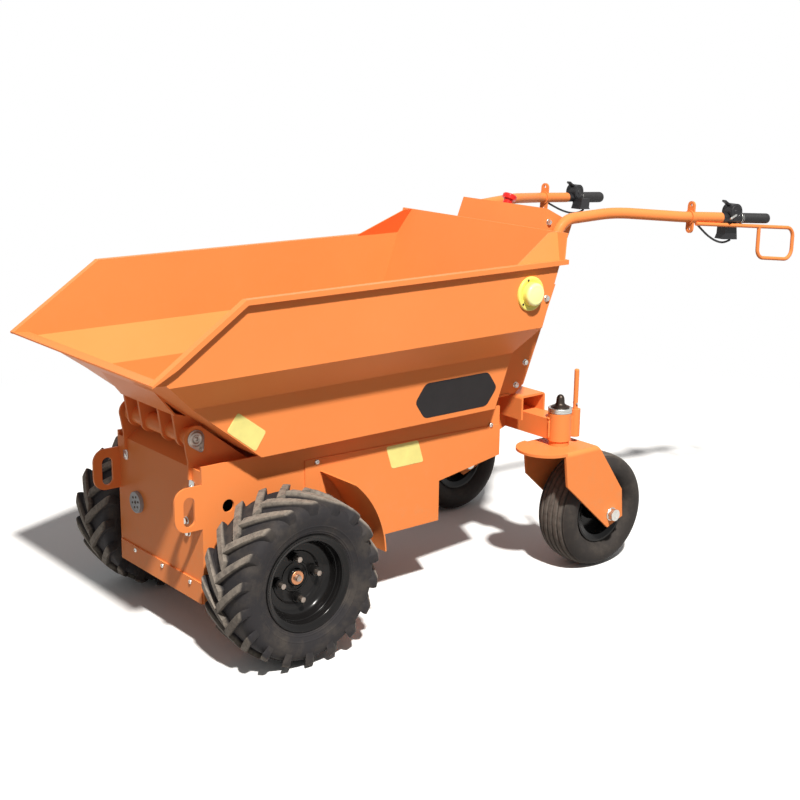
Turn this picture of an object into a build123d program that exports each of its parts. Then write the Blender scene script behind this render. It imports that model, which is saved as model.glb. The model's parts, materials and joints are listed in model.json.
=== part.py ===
import os
from math import atan2, cos, degrees, pi, radians, sin, tan

from build123d import *

# Walk-behind site dumper, millimetres. While it is drawn, X runs forward from the drive axle,
# Y to the left and Z up from the ground. save() then puts the origin at the bottom centre.

# Drive wheels
DRIVE_DIA = 406.0
DRIVE_WIDTH = 160.0
WHEEL_GAP = 34.0
DRIVE_CARCASS_DIA = 374.0
DRIVE_FLANGE_DIA = 230.0
DRIVE_BARREL_DIA = 200.0
DRIVE_RIM_WIDTH = 138.0
DRIVE_DISH = 57.0
DRIVE_HUB_DIA = 62.0
HUB_CAP_DIA = 42.0
HUB_CAP_REACH = 9.0
HUB_CAP_EDGE = 3.0
STUB_DIA = 30.0
BEAD_RISE = 2.0
SIDEWALL_TUCK = 4.0
BULGE_LOW = 10.0
BULGE_HIGH = 12.0
SHOULDER_IN = 16.0
CROWN_DROP = 3.0
LUG_COUNT = 18
LUG_THICK = 17.0
LUG_SLANT = 42.0
LUG_OVERLAP = 7.0
LUG_FOOT = 22.0
LUG_EDGE_DROP = 7.0
RIM_SHEET = 5.0
RIM_DRAW = 20.0

# Casters
CASTER_DIA = 314.0
CASTER_WIDTH = 122.0
CASTER_TRACK = 586.0
CASTER_TRAIL = 132.0
CASTER_FLANGE_DIA = 176.0
CASTER_BARREL_DIA = 150.0
CASTER_RIM_WIDTH = 84.0
CASTER_HUB_DIA = 50.0
CASTER_HUB_RUN = 8.0
CASTER_AXLE_DIA = 20.0
CASTER_NUT_DIA = 30.0
CASTER_NUT_HIGH = 16.0
CASTER_BULGE = 20.0
CASTER_SHOULDER = 32.0
CASTER_TREAD_DROP = 19.0
CASTER_TREAD_EDGE = 6.0
CASTER_TREAD_IN = 18.0
CASTER_FLAT_IN = 34.0
KINGPIN_X = -875.0
KINGPIN_DIA = 30.0
FORK_PLATE = 7.0
FORK_TOP_Z = 358.0
FORK_NOSE = 47.0
FORK_FRONT = 54.0
FORK_TAIL = 72.0
FORK_KNEE = 42.0
FORK_KNEE_DROP = 92.0
FORK_TOE = 13.0
FORK_TOE_DROP = 36.0
FORK_HEEL = 45.0
FORK_HEEL_DROP = 15.0
FORK_HIP = 38.0
FORK_HIP_RISE = 63.0
FORK_SIDE_GAP = 12.0
FORK_BEND = 12.0
COLLAR_DIA = 54.0
HOUSING_DIA = 62.0
HOUSING_LOW_Z = 372.0
HOUSING_HIGH_Z = 447.0
KINGPIN_CAP_DIA = 64.0
KINGPIN_CAP_HIGH = 13.0
KINGPIN_NUT_DIA = 40.0
KINGPIN_NUT_HIGH = 9.0
KINGPIN_DOME_DIA = 22.0
KINGPIN_DOME_HIGH = 26.0

# Chassis
CHASSIS_WIDTH = 392.0
CHASSIS_PLATE = 6.0
CHASSIS_FRONT = 165.0
CHASSIS_REAR = -748.0
CHASSIS_LOW_Z = 133.0
CHASSIS_TOP_Z = 421.0
FRONT_FOLD_Z = 452.0
FOLD_BACK = 38.0
FOOT_STRIP = 51.0
FRONT_KEEL = 300.0
KEEL_SLOPE = 80.0
REAR_LOW_Z = 330.0
DEEP_LOW_Z = 190.0
DEEP_REAR = -538.0
DEEP_STEP_Z = 297.0
SKIP_GAP = 12.0
SHEET = 4.0
COVER_FRONT = -117.0
COVER_SHEET = 3.0
COVER_FALL = 7.0
GUARD_RADIUS = 254.0
GUARD_WIDTH = 141.0
GUARD_START_ANGLE = 130.0
GUARD_END_ANGLE = 178.0
LASH_FRONT = 236.0
LASH_LOW_Z = 317.0
LASH_HIGH_Z = 421.0
LASH_CORNER = 32.0
LASH_SLOT_X = 199.0
LASH_SLOT_Z = 364.0
LASH_SLOT_WIDTH = 29.0
LASH_SLOT_LENGTH = 70.0
PORT_DIA = 31.0
PORT_X = 96.0
PORT_Z = 359.0
CAP_DIA = 54.0
CAP_HIGH = 8.0
CAP_EDGE = 3.0
CAP_Y = -103.0
CAP_Z = 302.0

# Drive unit and battery
UNIT_DIA = 130.0
AXLE_TUBE_DIA = 70.0
MOTOR_DIA = 120.0
MOTOR_HALF = 110.0
MOTOR_BACK = 110.0
MOTOR_UP = 30.0
BATTERY_LENGTH = 268.0
BATTERY_GAP = 20.0
BATTERY_TOP_GAP = 30.0

# Tipping hinge
HINGE_X = 152.0
HINGE_Z = 518.0
HINGE_PIN_DIA = 25.0
HINGE_PIN_HEAD = 37.0
HINGE_HEAD_HIGH = 5.0
EAR_RADIUS = 30.0
EAR_Y = 147.0
EAR_PLATE = 6.0
EAR_STEP = 8.0
EAR_FOOT_Z = 424.0
EAR_NECK_Z = 466.0
EAR_REAR = 20.0
HINGE_TUBE_DIA = 42.0
HINGE_SIDE_GAP = 8.0
HINGE_LUG = 8.0
HINGE_LUG_RADIUS = 28.0
HINGE_LUG_BACK = 40.0
HINGE_LUG_OUTER = 112.0
HINGE_LUG_INNER = 46.0
PIVOT_BEAM_HALF = 125.0
PIVOT_BEAM_FRONT = 86.0
PIVOT_BEAM_NOSE = 36.0
PIVOT_BEAM_RISE = 53.0
PIVOT_BEAM_BACK = 14.0

# Skip
SKIP_SHEET = 4.0
LIP_X = 362.0
LIP_Z = 704.0
LIP_STRIP = 38.0
LIP_RISE = 3.0
RIM_FRONT_X = 131.0
RIM_REAR_X = -820.0
RIM_Z = 862.0
RIM_DROP = 12.0
RIM_OVERHANG = 14.0
RIM_TAPER = 60.0
RIM_TAIL = 14.0
UPPER_HALF = 328.0
UPPER_LOW_Z = 694.0
LOWER_HALF = 250.0
LOWER_TOP_Z = 617.0
FLOOR_HALF = 244.0
FLOOR_Z = 475.0
FLOOR_FRONT = 35.0
FLOOR_REAR = -685.0
BACK_TOP_Z = 927.0
BACK_TOP_HALF = 325.0
GUSSET_RUN = 147.0
GUSSET_TOP_RUN = 8.0
GUSSET_LEAN = 34.0
LAMP_X = -714.0
LAMP_Z = 786.0
LAMP_DIA = 87.0
LENS_DIA = 60.0
LAMP_BASE = 6.0
LAMP_REACH = 26.0
LENS_EDGE = 9.0

# Rear beam and brackets
BEAM_SIDE = 60.0
BEAM_LOW_Z = 375.0
BEAM_HIGH_Z = 430.0
LOCK_BACK = 58.0
LOCK_TUBE_DIA = 28.0
LOCK_WEB = 12.0
LOCK_DIA = 13.0
LOCK_TOP_Z = 556.0
LOCK_HOLE_DIA = 16.0
BRACKET_IN = 86.0
BRACKET_PLATE = 8.0
BRACKET_FOOT = 10.0
STRAP_PLATE = 6.0
STRAP_WIDTH = 88.0
STRAP_FRONT = 57.0
STRAP_REAR = 30.0
STRAP_FOOT_Z = 414.0
STRAP_BEND = 10.0

# Column, console and handles
COLUMN_HALF = 170.0
COLUMN_GAP = 38.0
COLUMN_SPREAD = 3.3
COLUMN_FOOT_Z = 480.0
COLUMN_TOP_Z = 762.0
COLUMN_DEPTH = 115.0
COLUMN_CORNER = 22.0
CONSOLE_HEIGHT = 206.0
CONSOLE_HALF = 166.0
CONSOLE_DEPTH = 108.0
CONSOLE_SLOPE = 25.0
STOP_BACK = 48.0
STOP_Y = -43.0
STOP_NECK_DIA = 26.0
STOP_NECK_HIGH = 26.0
STOP_HEAD_DIA = 40.0
STOP_HEAD_HIGH = 14.0
STOP_HEAD_EDGE = 5.0
HANDLE_DIA = 30.0
HANDLE_FOOT_UP = 8.0
HANDLE_BEND_Z = 936.0
HANDLE_BEND_R = 65.0
CREST_X = -1149.0
CREST_Y = 200.0
CREST_Z = 946.0
CREST_BEND_R = 300.0
HANDLE_SET_BACK = 53.0
CLAMP_BEND_R = 120.0
BAR_DIA = 22.0
GRIP_CAP = 5.0
CLAMP_X = -1340.0
CLAMP_Y = 283.0
CLAMP_Z = 929.0
CLAMP_SET_BACK = 28.0
CLAMP_PLATE = 6.0
CLAMP_WIDTH = 26.0
CLAMP_REACH = 44.0
CLAMP_HOLE_DIA = 9.0
CLAMP_HOLE_IN = 11.0
CLAMP_COLLAR = 14.0
CLAMP_WALL = 4.0
GRIP_END_X = -1662.0
GRIP_END_Y = 327.0
GRIP_END_Z = 907.0
GRIP_LENGTH = 112.0
GRIP_DIA = 29.0
CONTROL_LENGTH = 72.0
CONTROL_DIA = 28.0
POD_RADIUS = 23.0
POD_WIDTH = 34.0
POD_RISE = 18.0
POD_FROM_GRIP = 30.0
LEVER_LENGTH = 46.0
LEVER_WIDTH = 14.0
LEVER_THICK = 5.0
LEVER_TILT = 28.0
BOX_INBOARD = 22.0
BOX_WIDTH = 34.0
BOX_DROP = 62.0
SMALL_BOX_DROP = 34.0
BOX_FOOT = 14.0
BOX_FRONT = 28.0
BOX_FLARE = 6.0
BOX_HEEL = 6.0
ROD_DIA = 11.0
ROD_BACK = 286.0
ROD_TURN = -35.0
LOOP_REAR_X = -1772.0
LOOP_FRONT_X = -1628.0
LOOP_TOP_Z = 873.0
LOOP_LOW_Z = 780.0
LOOP_Y = 340.0
LOOP_RISE = 16.0
LOOP_BEND_R = 28.0
SLEEVE_DIA = 16.0
SLEEVE_LOW_Z = 822.0
LEAD_DIA = 6.0
LEAD_EXIT_BACK = 275.0
LEAD_ENTRY_BACK = 6.0
LEAD_MIDDLE = [(-1415, 290, 889), (-1445, 289, 869), (-1485, 288, 850), (-1526, 286, 842)]
LEAD_BENDS = [40, 60, 60, 16]

# Clearances
TURN_FIT = 0.05
SEAT_GAP = 0.3
RUN_GAP = 5.0

DRIVE_TRACK = CHASSIS_WIDTH + DRIVE_WIDTH + 2 * WHEEL_GAP
AXLE_Z = DRIVE_DIA / 2
CASTER_X = KINGPIN_X - CASTER_TRAIL
CASTER_Z = CASTER_DIA / 2
SIDE_IN = CHASSIS_WIDTH / 2 - CHASSIS_PLATE
SIDE_OUT = CHASSIS_WIDTH / 2
SIDE_TOP_Z = FLOOR_Z - SKIP_GAP
COVER_OUT = SIDE_OUT + COVER_SHEET
GUARD_REACH = COVER_OUT + GUARD_WIDTH
BRACKET_Y = SIDE_OUT - BRACKET_IN
STRAP_Y = BRACKET_Y + BRACKET_PLATE + STRAP_WIDTH
COLUMN_FOOT_X = FLOOR_REAR - COLUMN_GAP
COLUMN_LEAN = degrees(atan2(FLOOR_REAR - RIM_REAR_X, RIM_Z - FLOOR_Z)) + COLUMN_SPREAD
CONSOLE_TOP_Z = COLUMN_TOP_Z + CONSOLE_HEIGHT
REAR_REACH = LOOP_REAR_X - ROD_DIA / 2
AXLE_SHIFT = -(LIP_X + REAR_REACH) / 2
SIDES = {"left": 1, "right": -1}


def save(node, shape):
    export_step(shape.moved(Location((AXLE_SHIFT, 0, 0))), f"parts/{node}.step")


def block(x, y, z):
    """Box between three (low, high) pairs."""
    low = Vector(x[0], y[0], z[0])
    return Pos(low) * Box(x[1] - x[0], y[1] - y[0], z[1] - z[0], align=(Align.MIN,) * 3)


def plate_xz(points, y_low, y_high):
    """Plate cut to an outline of (x, z) points."""
    outline = Polyline([(x, y_low, z) for x, z in points], close=True)
    return extrude(make_face(outline), amount=y_high - y_low, dir=(0, 1, 0))


def plate_yz(points, x_low, x_high):
    """Plate cut to an outline of (y, z) points."""
    outline = Polyline([(x_low, y, z) for y, z in points], close=True)
    return extrude(make_face(outline), amount=x_high - x_low, dir=(1, 0, 0))


def rounded(plate, corners, radius):
    """Plate in the side view with the corners at these (x, z) points rounded off."""
    edges = []
    for edge in plate.edges().filter_by(Axis.Y):
        place = edge.center()
        edges += [edge for x, z in corners if abs(place.X - x) + abs(place.Z - z) < SEAT_GAP]
    return fillet(edges, radius)


def rod_y(x, z, dia, y_low, y_high):
    rod = Cylinder(dia / 2, y_high - y_low, align=(Align.CENTER, Align.CENTER, Align.MIN))
    return Pos(x, y_low, z) * Rot(-90, 0, 0) * rod


def rod_z(x, y, dia, z_low, z_high):
    rod = Cylinder(dia / 2, z_high - z_low, align=(Align.CENTER, Align.CENTER, Align.MIN))
    return Pos(x, y, z_low) * rod


def turned(points):
    """Ring turned about the Y axis from an outline of (y, radius) points."""
    outline = Polyline([(0, y, r) for y, r in points], close=True)
    return revolve(make_face(outline), Axis.Y, 360)


def mirrored(points):
    """Half an outline followed by its mirror image; a point on the middle line comes once."""
    return points + [(-y, r) for y, r in reversed(points) if y]


def swept_rod(path, dia):
    return sweep(Plane(path @ 0, z_dir=path % 0) * Circle(dia / 2), path=path)


def on_side(shape, side):
    """The left-hand piece, or its mirror image for the right-hand side."""
    return shape if side > 0 else shape.mirror(Plane.XZ)


def drive_tyre():
    """Tyre with two rows of slanting lugs that meet in a chevron."""
    half = DRIVE_WIDTH / 2
    lip = DRIVE_RIM_WIDTH / 2 - RIM_SHEET - SEAT_GAP
    seat = DRIVE_BARREL_DIA / 2 + SEAT_GAP
    bead = DRIVE_FLANGE_DIA / 2 + BEAD_RISE
    base = DRIVE_CARCASS_DIA / 2
    tip = DRIVE_DIA / 2
    bulge = (bead + base) / 2
    carcass = turned(mirrored([
        (lip, seat), (lip, bead), (half - SIDEWALL_TUCK, bulge - BULGE_LOW),
        (half - SIDEWALL_TUCK / 2, bulge + BULGE_HIGH), (half - SHOULDER_IN, base - CROWN_DROP), (0, base),
    ]))
    band = turned(mirrored([
        (half - SIDEWALL_TUCK / 2, base - LUG_FOOT), (half, base - LUG_EDGE_DROP),
        (half - CROWN_DROP, tip - LUG_EDGE_DROP), (0, tip),
    ]))
    run = (half + LUG_OVERLAP) / cos(radians(LUG_SLANT)) + 2 * LUG_THICK
    bar = block((-LUG_THICK / 2, LUG_THICK / 2), (0, run), (base - 2 * LUG_FOOT, tip + LUG_FOOT))
    pitch = 360 / LUG_COUNT
    lugs = []
    for row, phase in ((1, 0), (-1, pitch / 2)):
        lean = LUG_SLANT if row > 0 else 180 - LUG_SLANT
        lug = band & (Pos(0, -row * LUG_OVERLAP, 0) * Rot(0, 0, lean) * bar)
        lugs += [lug.rotate(Axis.Y, phase + index * pitch) for index in range(LUG_COUNT)]
    return carcass.fuse(*lugs)


def drive_rim():
    """Dished disc rim with rolled flanges, a hub and a cap over the stub."""
    half = DRIVE_RIM_WIDTH / 2
    flange = DRIVE_FLANGE_DIA / 2
    barrel = DRIVE_BARREL_DIA / 2
    inner = barrel - RIM_SHEET
    face = half - DRIVE_DISH
    hub = DRIVE_HUB_DIA / 2
    cap = HUB_CAP_DIA / 2
    bore = STUB_DIA / 2 + TURN_FIT
    hub_in = face - DRIVE_HUB_DIA
    shaft_end = face + HUB_CAP_REACH / 2
    cap_end = face + HUB_CAP_REACH
    return turned([
        (half, flange), (half - RIM_SHEET, flange), (half - RIM_SHEET, barrel),
        (RIM_SHEET - half, barrel), (RIM_SHEET - half, flange), (-half, flange),
        (-half, flange - RIM_SHEET), (RIM_SHEET - half, inner), (face - 2 * RIM_SHEET, inner),
        (face - RIM_SHEET, hub + RIM_DRAW), (face - RIM_SHEET, hub), (hub_in, hub), (hub_in, bore),
        (shaft_end + SEAT_GAP, bore), (shaft_end + SEAT_GAP, 0), (cap_end, 0), (cap_end, cap - HUB_CAP_EDGE),
        (cap_end - HUB_CAP_EDGE, cap), (face, cap), (face, hub + RIM_DRAW),
        (face + RIM_DRAW / 2, inner - RIM_SHEET), (face + RIM_DRAW, inner), (half - RIM_SHEET, inner),
        (half, flange - RIM_SHEET),
    ])


def caster_tyre():
    half = CASTER_WIDTH / 2
    lip = CASTER_RIM_WIDTH / 2 - RIM_SHEET - SEAT_GAP
    seat = CASTER_BARREL_DIA / 2 + SEAT_GAP
    bead = CASTER_FLANGE_DIA / 2 + BEAD_RISE
    tip = CASTER_DIA / 2
    return turned(mirrored([
        (lip, seat), (lip, bead), (half - SIDEWALL_TUCK / 2, bead + CASTER_BULGE),
        (half, bead + CASTER_SHOULDER), (half - RIM_SHEET, tip - CASTER_TREAD_DROP),
        (half - CASTER_TREAD_IN, tip - CASTER_TREAD_EDGE), (half - CASTER_FLAT_IN, tip),
    ]))


def caster_rim():
    half = CASTER_RIM_WIDTH / 2
    flange = CASTER_FLANGE_DIA / 2
    barrel = CASTER_BARREL_DIA / 2
    inner = barrel - RIM_SHEET
    hub = CASTER_HUB_DIA / 2
    hub_half = CASTER_WIDTH / 2
    bore = CASTER_AXLE_DIA / 2 + TURN_FIT
    web = RIM_SHEET / 2
    side = [(web, inner), (half - RIM_SHEET, inner), (half, flange - RIM_SHEET), (half, flange),
            (half - RIM_SHEET, flange), (half - RIM_SHEET, barrel)]
    return turned(mirrored([(hub_half, bore), (hub_half, hub), (web, hub + CASTER_HUB_RUN)] + side))


def caster_fork():
    """Bent-plate fork: a top plate with a round nose and two slanting side plates down to the axle."""
    in_half = CASTER_WIDTH / 2 + FORK_SIDE_GAP
    half = in_half + FORK_PLATE
    under = FORK_TOP_Z - FORK_PLATE
    nose_x = KINGPIN_X + FORK_NOSE
    tail_x = KINGPIN_X - FORK_TAIL
    y = CASTER_TRACK / 2
    shell = plate_xz([
        (tail_x, FORK_TOP_Z), (KINGPIN_X + FORK_FRONT, FORK_TOP_Z),
        (KINGPIN_X + FORK_KNEE, FORK_TOP_Z - FORK_KNEE_DROP),
        (CASTER_X + FORK_TOE, CASTER_Z - FORK_TOE_DROP), (CASTER_X - FORK_HEEL, CASTER_Z - FORK_HEEL_DROP),
        (CASTER_X - FORK_HIP, CASTER_Z + FORK_HIP_RISE),
    ], y - half, y + half)
    bends = [edge for edge in shell.edges().filter_by(Axis.X) if edge.center().Z > under]
    shell = fillet(bends, FORK_BEND)
    shell -= block((CASTER_X - CASTER_DIA, KINGPIN_X + CASTER_DIA), (y - in_half, y + in_half), (0, under))
    nose = rod_z(nose_x, y, 2 * half, under, FORK_TOP_Z)
    nose &= block((nose_x, nose_x + half), (0, 2 * y), (0, FORK_TOP_Z))
    axle = rod_y(CASTER_X, CASTER_Z, CASTER_AXLE_DIA, y - half, y + half)
    for end in (y - half - CASTER_NUT_HIGH, y + half):
        axle += rod_y(CASTER_X, CASTER_Z, CASTER_NUT_DIA, end, end + CASTER_NUT_HIGH)
    collar = rod_z(KINGPIN_X, y, COLLAR_DIA, FORK_TOP_Z, HOUSING_LOW_Z - SEAT_GAP)
    lock_hole = rod_z(KINGPIN_X - LOCK_BACK, y, LOCK_HOLE_DIA, under - SHEET, FORK_TOP_Z + SHEET)
    return shell + nose + collar - lock_hole + axle


def kingpin():
    """Pin through the housing with a bearing cap, a nut and a domed cap on top."""
    y = CASTER_TRACK / 2
    cap_z = HOUSING_HIGH_Z + SEAT_GAP
    nut_z = cap_z + KINGPIN_CAP_HIGH
    dome_z = nut_z + KINGPIN_NUT_HIGH
    dome_r = KINGPIN_DOME_DIA / 2
    pin = rod_z(KINGPIN_X, y, KINGPIN_DIA, HOUSING_LOW_Z - SEAT_GAP, cap_z)
    cap = rod_z(KINGPIN_X, y, KINGPIN_CAP_DIA, cap_z, nut_z)
    nut = Pos(KINGPIN_X, y, nut_z) * extrude(RegularPolygon(KINGPIN_NUT_DIA / 2, 6), KINGPIN_NUT_HIGH)
    neck = rod_z(KINGPIN_X, y, KINGPIN_DOME_DIA, dome_z, dome_z + KINGPIN_DOME_HIGH - dome_r)
    dome = Pos(KINGPIN_X, y, dome_z + KINGPIN_DOME_HIGH - dome_r) * Sphere(dome_r)
    return pin + cap + nut + neck + dome


def chute_angle():
    return atan2(LIP_Z - LIP_RISE - FLOOR_Z, LIP_X - LIP_STRIP - FLOOR_FRONT)


def chute_under(x):
    """Height of the chute's underside."""
    return FLOOR_Z + (x - FLOOR_FRONT) * tan(chute_angle())


def side_plate():
    """Chassis side plate with the lashing lug and its slot."""
    cut = (SIDE_IN - CHASSIS_PLATE, SIDE_OUT + CHASSIS_PLATE)
    corners = [(LASH_FRONT, LASH_LOW_Z), (LASH_FRONT, LASH_HIGH_Z)]
    plate = rounded(plate_xz([
        (CHASSIS_FRONT, LASH_LOW_Z), *corners, (CHASSIS_FRONT, LASH_HIGH_Z), (CHASSIS_FRONT, SIDE_TOP_Z),
        (CHASSIS_REAR, SIDE_TOP_Z), *reversed(belly_line()),
    ], SIDE_IN, SIDE_OUT), corners, LASH_CORNER)
    slot_end = (LASH_SLOT_LENGTH - LASH_SLOT_WIDTH) / 2
    slot_half = LASH_SLOT_WIDTH / 2
    slot_x = (LASH_SLOT_X - slot_half, LASH_SLOT_X + slot_half)
    slot = block(slot_x, cut, (LASH_SLOT_Z - slot_end, LASH_SLOT_Z + slot_end))
    for end in (-slot_end, slot_end):
        slot += rod_y(LASH_SLOT_X, LASH_SLOT_Z + end, LASH_SLOT_WIDTH, *cut)
    port = rod_y(PORT_X, PORT_Z, PORT_DIA, *cut)
    axle_hole = rod_y(0, AXLE_Z, AXLE_TUBE_DIA + 2 * SEAT_GAP, *cut)
    return plate - slot - port - axle_hole


def hinge_ear():
    """Upright plate on the deck, notched over the front sheet, with the eye for the hinge pin."""
    chute = chute_angle()
    outer = EAR_Y + EAR_PLATE
    back = CHASSIS_FRONT - SHEET - SEAT_GAP
    step = CHASSIS_FRONT + EAR_STEP
    notch = FRONT_FOLD_Z + SEAT_GAP
    top_x = HINGE_X - EAR_RADIUS * sin(chute)
    top_z = HINGE_Z + EAR_RADIUS * cos(chute)
    plate = plate_xz([
        (EAR_REAR, CHASSIS_TOP_Z), (back, CHASSIS_TOP_Z), (back, notch), (CHASSIS_FRONT, notch),
        (CHASSIS_FRONT, EAR_FOOT_Z), (step, EAR_FOOT_Z), (step, EAR_NECK_Z),
        (HINGE_X + EAR_RADIUS, HINGE_Z), (top_x, top_z), (EAR_REAR, top_z - (top_x - EAR_REAR) * tan(chute)),
    ], EAR_Y, outer)
    plate += rod_y(HINGE_X, HINGE_Z, 2 * EAR_RADIUS, EAR_Y, outer)
    return plate - rod_y(HINGE_X, HINGE_Z, HINGE_PIN_DIA + 2 * TURN_FIT, 0, 2 * outer)


def cover():
    """Side cover that hangs over the battery and behind the drive wheel."""
    return plate_xz([
        (COVER_FRONT, CHASSIS_TOP_Z + COVER_FALL), (CHASSIS_REAR, CHASSIS_TOP_Z - COVER_FALL),
        (CHASSIS_REAR, REAR_LOW_Z), (DEEP_REAR, DEEP_STEP_Z), (DEEP_REAR, DEEP_LOW_Z),
        (COVER_FRONT, DEEP_LOW_Z),
    ], SIDE_OUT, COVER_OUT)


def mudguard():
    """Curved strip round the back of the drive wheel."""
    outer = rod_y(0, AXLE_Z, 2 * GUARD_RADIUS, COVER_OUT, GUARD_REACH)
    inner = rod_y(0, AXLE_Z, 2 * (GUARD_RADIUS - SHEET), SIDE_OUT, GUARD_REACH + SHEET)
    far = 2 * GUARD_RADIUS
    angles = (GUARD_START_ANGLE, (GUARD_START_ANGLE + GUARD_END_ANGLE) / 2, GUARD_END_ANGLE)
    spread = [(far * cos(radians(a)), AXLE_Z + far * sin(radians(a))) for a in angles]
    return (outer - inner) & plate_xz([(0, AXLE_Z)] + spread, 0, GUARD_REACH + SHEET)


def front_panel():
    """Front sheet, folded back under the hinge, with a foot strip."""
    back = CHASSIS_FRONT - SHEET
    top_x = HINGE_X - FOLD_BACK
    top_z = HINGE_Z - EAR_RADIUS
    fold_half = EAR_Y - SEAT_GAP
    sheet = block((back, CHASSIS_FRONT), (-SIDE_IN, SIDE_IN), (CHASSIS_LOW_Z, FRONT_FOLD_Z))
    fold = plate_xz([
        (back, CHASSIS_TOP_Z), (CHASSIS_FRONT, CHASSIS_TOP_Z), (CHASSIS_FRONT, FRONT_FOLD_Z),
        (top_x, top_z), (top_x - SHEET, top_z), (back, FRONT_FOLD_Z - SHEET / 2),
    ], -fold_half, fold_half)
    strip_x = (CHASSIS_FRONT, CHASSIS_FRONT + SHEET)
    return sheet + fold + block(strip_x, (-SIDE_IN, SIDE_IN), (CHASSIS_LOW_Z, CHASSIS_LOW_Z + FOOT_STRIP))


def deck():
    inside = (CHASSIS_REAR + SHEET, CHASSIS_FRONT - SHEET)
    return block(inside, (-SIDE_IN, SIDE_IN), (CHASSIS_TOP_Z - SHEET, CHASSIS_TOP_Z))


def rear_panel():
    return block((CHASSIS_REAR, CHASSIS_REAR + SHEET), (-SIDE_IN, SIDE_IN), (REAR_LOW_Z, CHASSIS_TOP_Z))


def belly_line():
    """Lower edge of the chassis from front to rear."""
    return [
        (CHASSIS_FRONT, CHASSIS_LOW_Z), (CHASSIS_FRONT - FRONT_KEEL, CHASSIS_LOW_Z),
        (CHASSIS_FRONT - FRONT_KEEL - KEEL_SLOPE, DEEP_LOW_Z), (DEEP_REAR, DEEP_LOW_Z),
        (DEEP_REAR, DEEP_STEP_Z), (CHASSIS_REAR, REAR_LOW_Z),
    ]


def belly_pan():
    """Bottom sheet, folded along the lower edge of the side plates."""
    points = belly_line() + [(CHASSIS_REAR, HINGE_Z), (CHASSIS_FRONT, HINGE_Z)]
    face = make_face(Polyline([(x, -SIDE_IN, z) for x, z in points], close=True))
    inner = offset(face, amount=-SHEET, kind=Kind.INTERSECTION)
    pan = extrude(face - inner, amount=2 * SIDE_IN, dir=(0, 1, 0))
    inside = (CHASSIS_REAR + SHEET, CHASSIS_FRONT - SHEET)
    return pan & block(inside, (-SIDE_IN, SIDE_IN), (0, CHASSIS_TOP_Z - 2 * SHEET))


def charging_cap():
    cap = Cylinder(CAP_DIA / 2, CAP_HIGH, align=(Align.CENTER, Align.CENTER, Align.MIN))
    cap = chamfer(cap.edges().sort_by(Axis.Z)[-1], CAP_EDGE)
    return Pos(CHASSIS_FRONT, CAP_Y, CAP_Z) * Rot(0, 90, 0) * cap


def drive_axle():
    """Drive unit between the side plates, its motor, and the tubes and stubs for the wheels."""
    face = DRIVE_TRACK / 2 + DRIVE_RIM_WIDTH / 2 - DRIVE_DISH
    tube_end = face - DRIVE_HUB_DIA - RUN_GAP
    stub_end = face + HUB_CAP_REACH / 2
    unit = rod_y(0, AXLE_Z, UNIT_DIA, -SIDE_IN, SIDE_IN)
    tube = rod_y(0, AXLE_Z, AXLE_TUBE_DIA, -tube_end, tube_end)
    stub = rod_y(0, AXLE_Z, STUB_DIA, -stub_end, stub_end)
    motor = rod_y(-MOTOR_BACK, AXLE_Z + MOTOR_UP, MOTOR_DIA, -MOTOR_HALF, MOTOR_HALF)
    return unit + tube + stub + motor


def battery_pack():
    rear = DEEP_REAR + BATTERY_GAP
    half = SIDE_IN - BATTERY_GAP
    heights = (DEEP_LOW_Z + SHEET, CHASSIS_TOP_Z - BATTERY_TOP_GAP)
    return block((rear, rear + BATTERY_LENGTH), (-half, half), heights)


def hinge_pin():
    end = EAR_Y + EAR_PLATE
    pin = rod_y(HINGE_X, HINGE_Z, HINGE_PIN_DIA, -end, end)
    for side in (1, -1):
        head = rod_y(HINGE_X, HINGE_Z, HINGE_PIN_HEAD, end, end + HINGE_HEAD_HIGH)
        pin += on_side(head, side)
    return pin


def rear_beam():
    """Cross tube with a kingpin housing and a lock pin tube at each end."""
    half = BEAM_SIDE / 2
    y = CASTER_TRACK / 2
    lock_x = KINGPIN_X - LOCK_BACK
    beam = block((KINGPIN_X - half, KINGPIN_X + half), (-y, y), (BEAM_LOW_Z, BEAM_HIGH_Z))
    for side in (1, -1):
        end = rod_z(KINGPIN_X, y, HOUSING_DIA, HOUSING_LOW_Z, HOUSING_HIGH_Z)
        end += rod_z(lock_x, y, LOCK_TUBE_DIA, HOUSING_LOW_Z, HOUSING_HIGH_Z)
        end += block((lock_x, KINGPIN_X), (y - LOCK_WEB / 2, y + LOCK_WEB / 2), (BEAM_LOW_Z, BEAM_HIGH_Z))
        beam += on_side(end, side)
    for side in (1, -1):
        bores = rod_z(KINGPIN_X, y, KINGPIN_DIA + 2 * TURN_FIT, 0, HINGE_Z)
        bores += rod_z(lock_x, y, LOCK_DIA + 2 * TURN_FIT, 0, HINGE_Z)
        beam -= on_side(bores, side)
    return beam


def lock_pin():
    """Pin that drops into the fork to hold the caster straight."""
    pin = rod_z(KINGPIN_X - LOCK_BACK, CASTER_TRACK / 2, LOCK_DIA, HOUSING_LOW_Z, LOCK_TOP_Z)
    return fillet(pin.edges().sort_by(Axis.Z)[-1], LOCK_DIA / 3)


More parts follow.
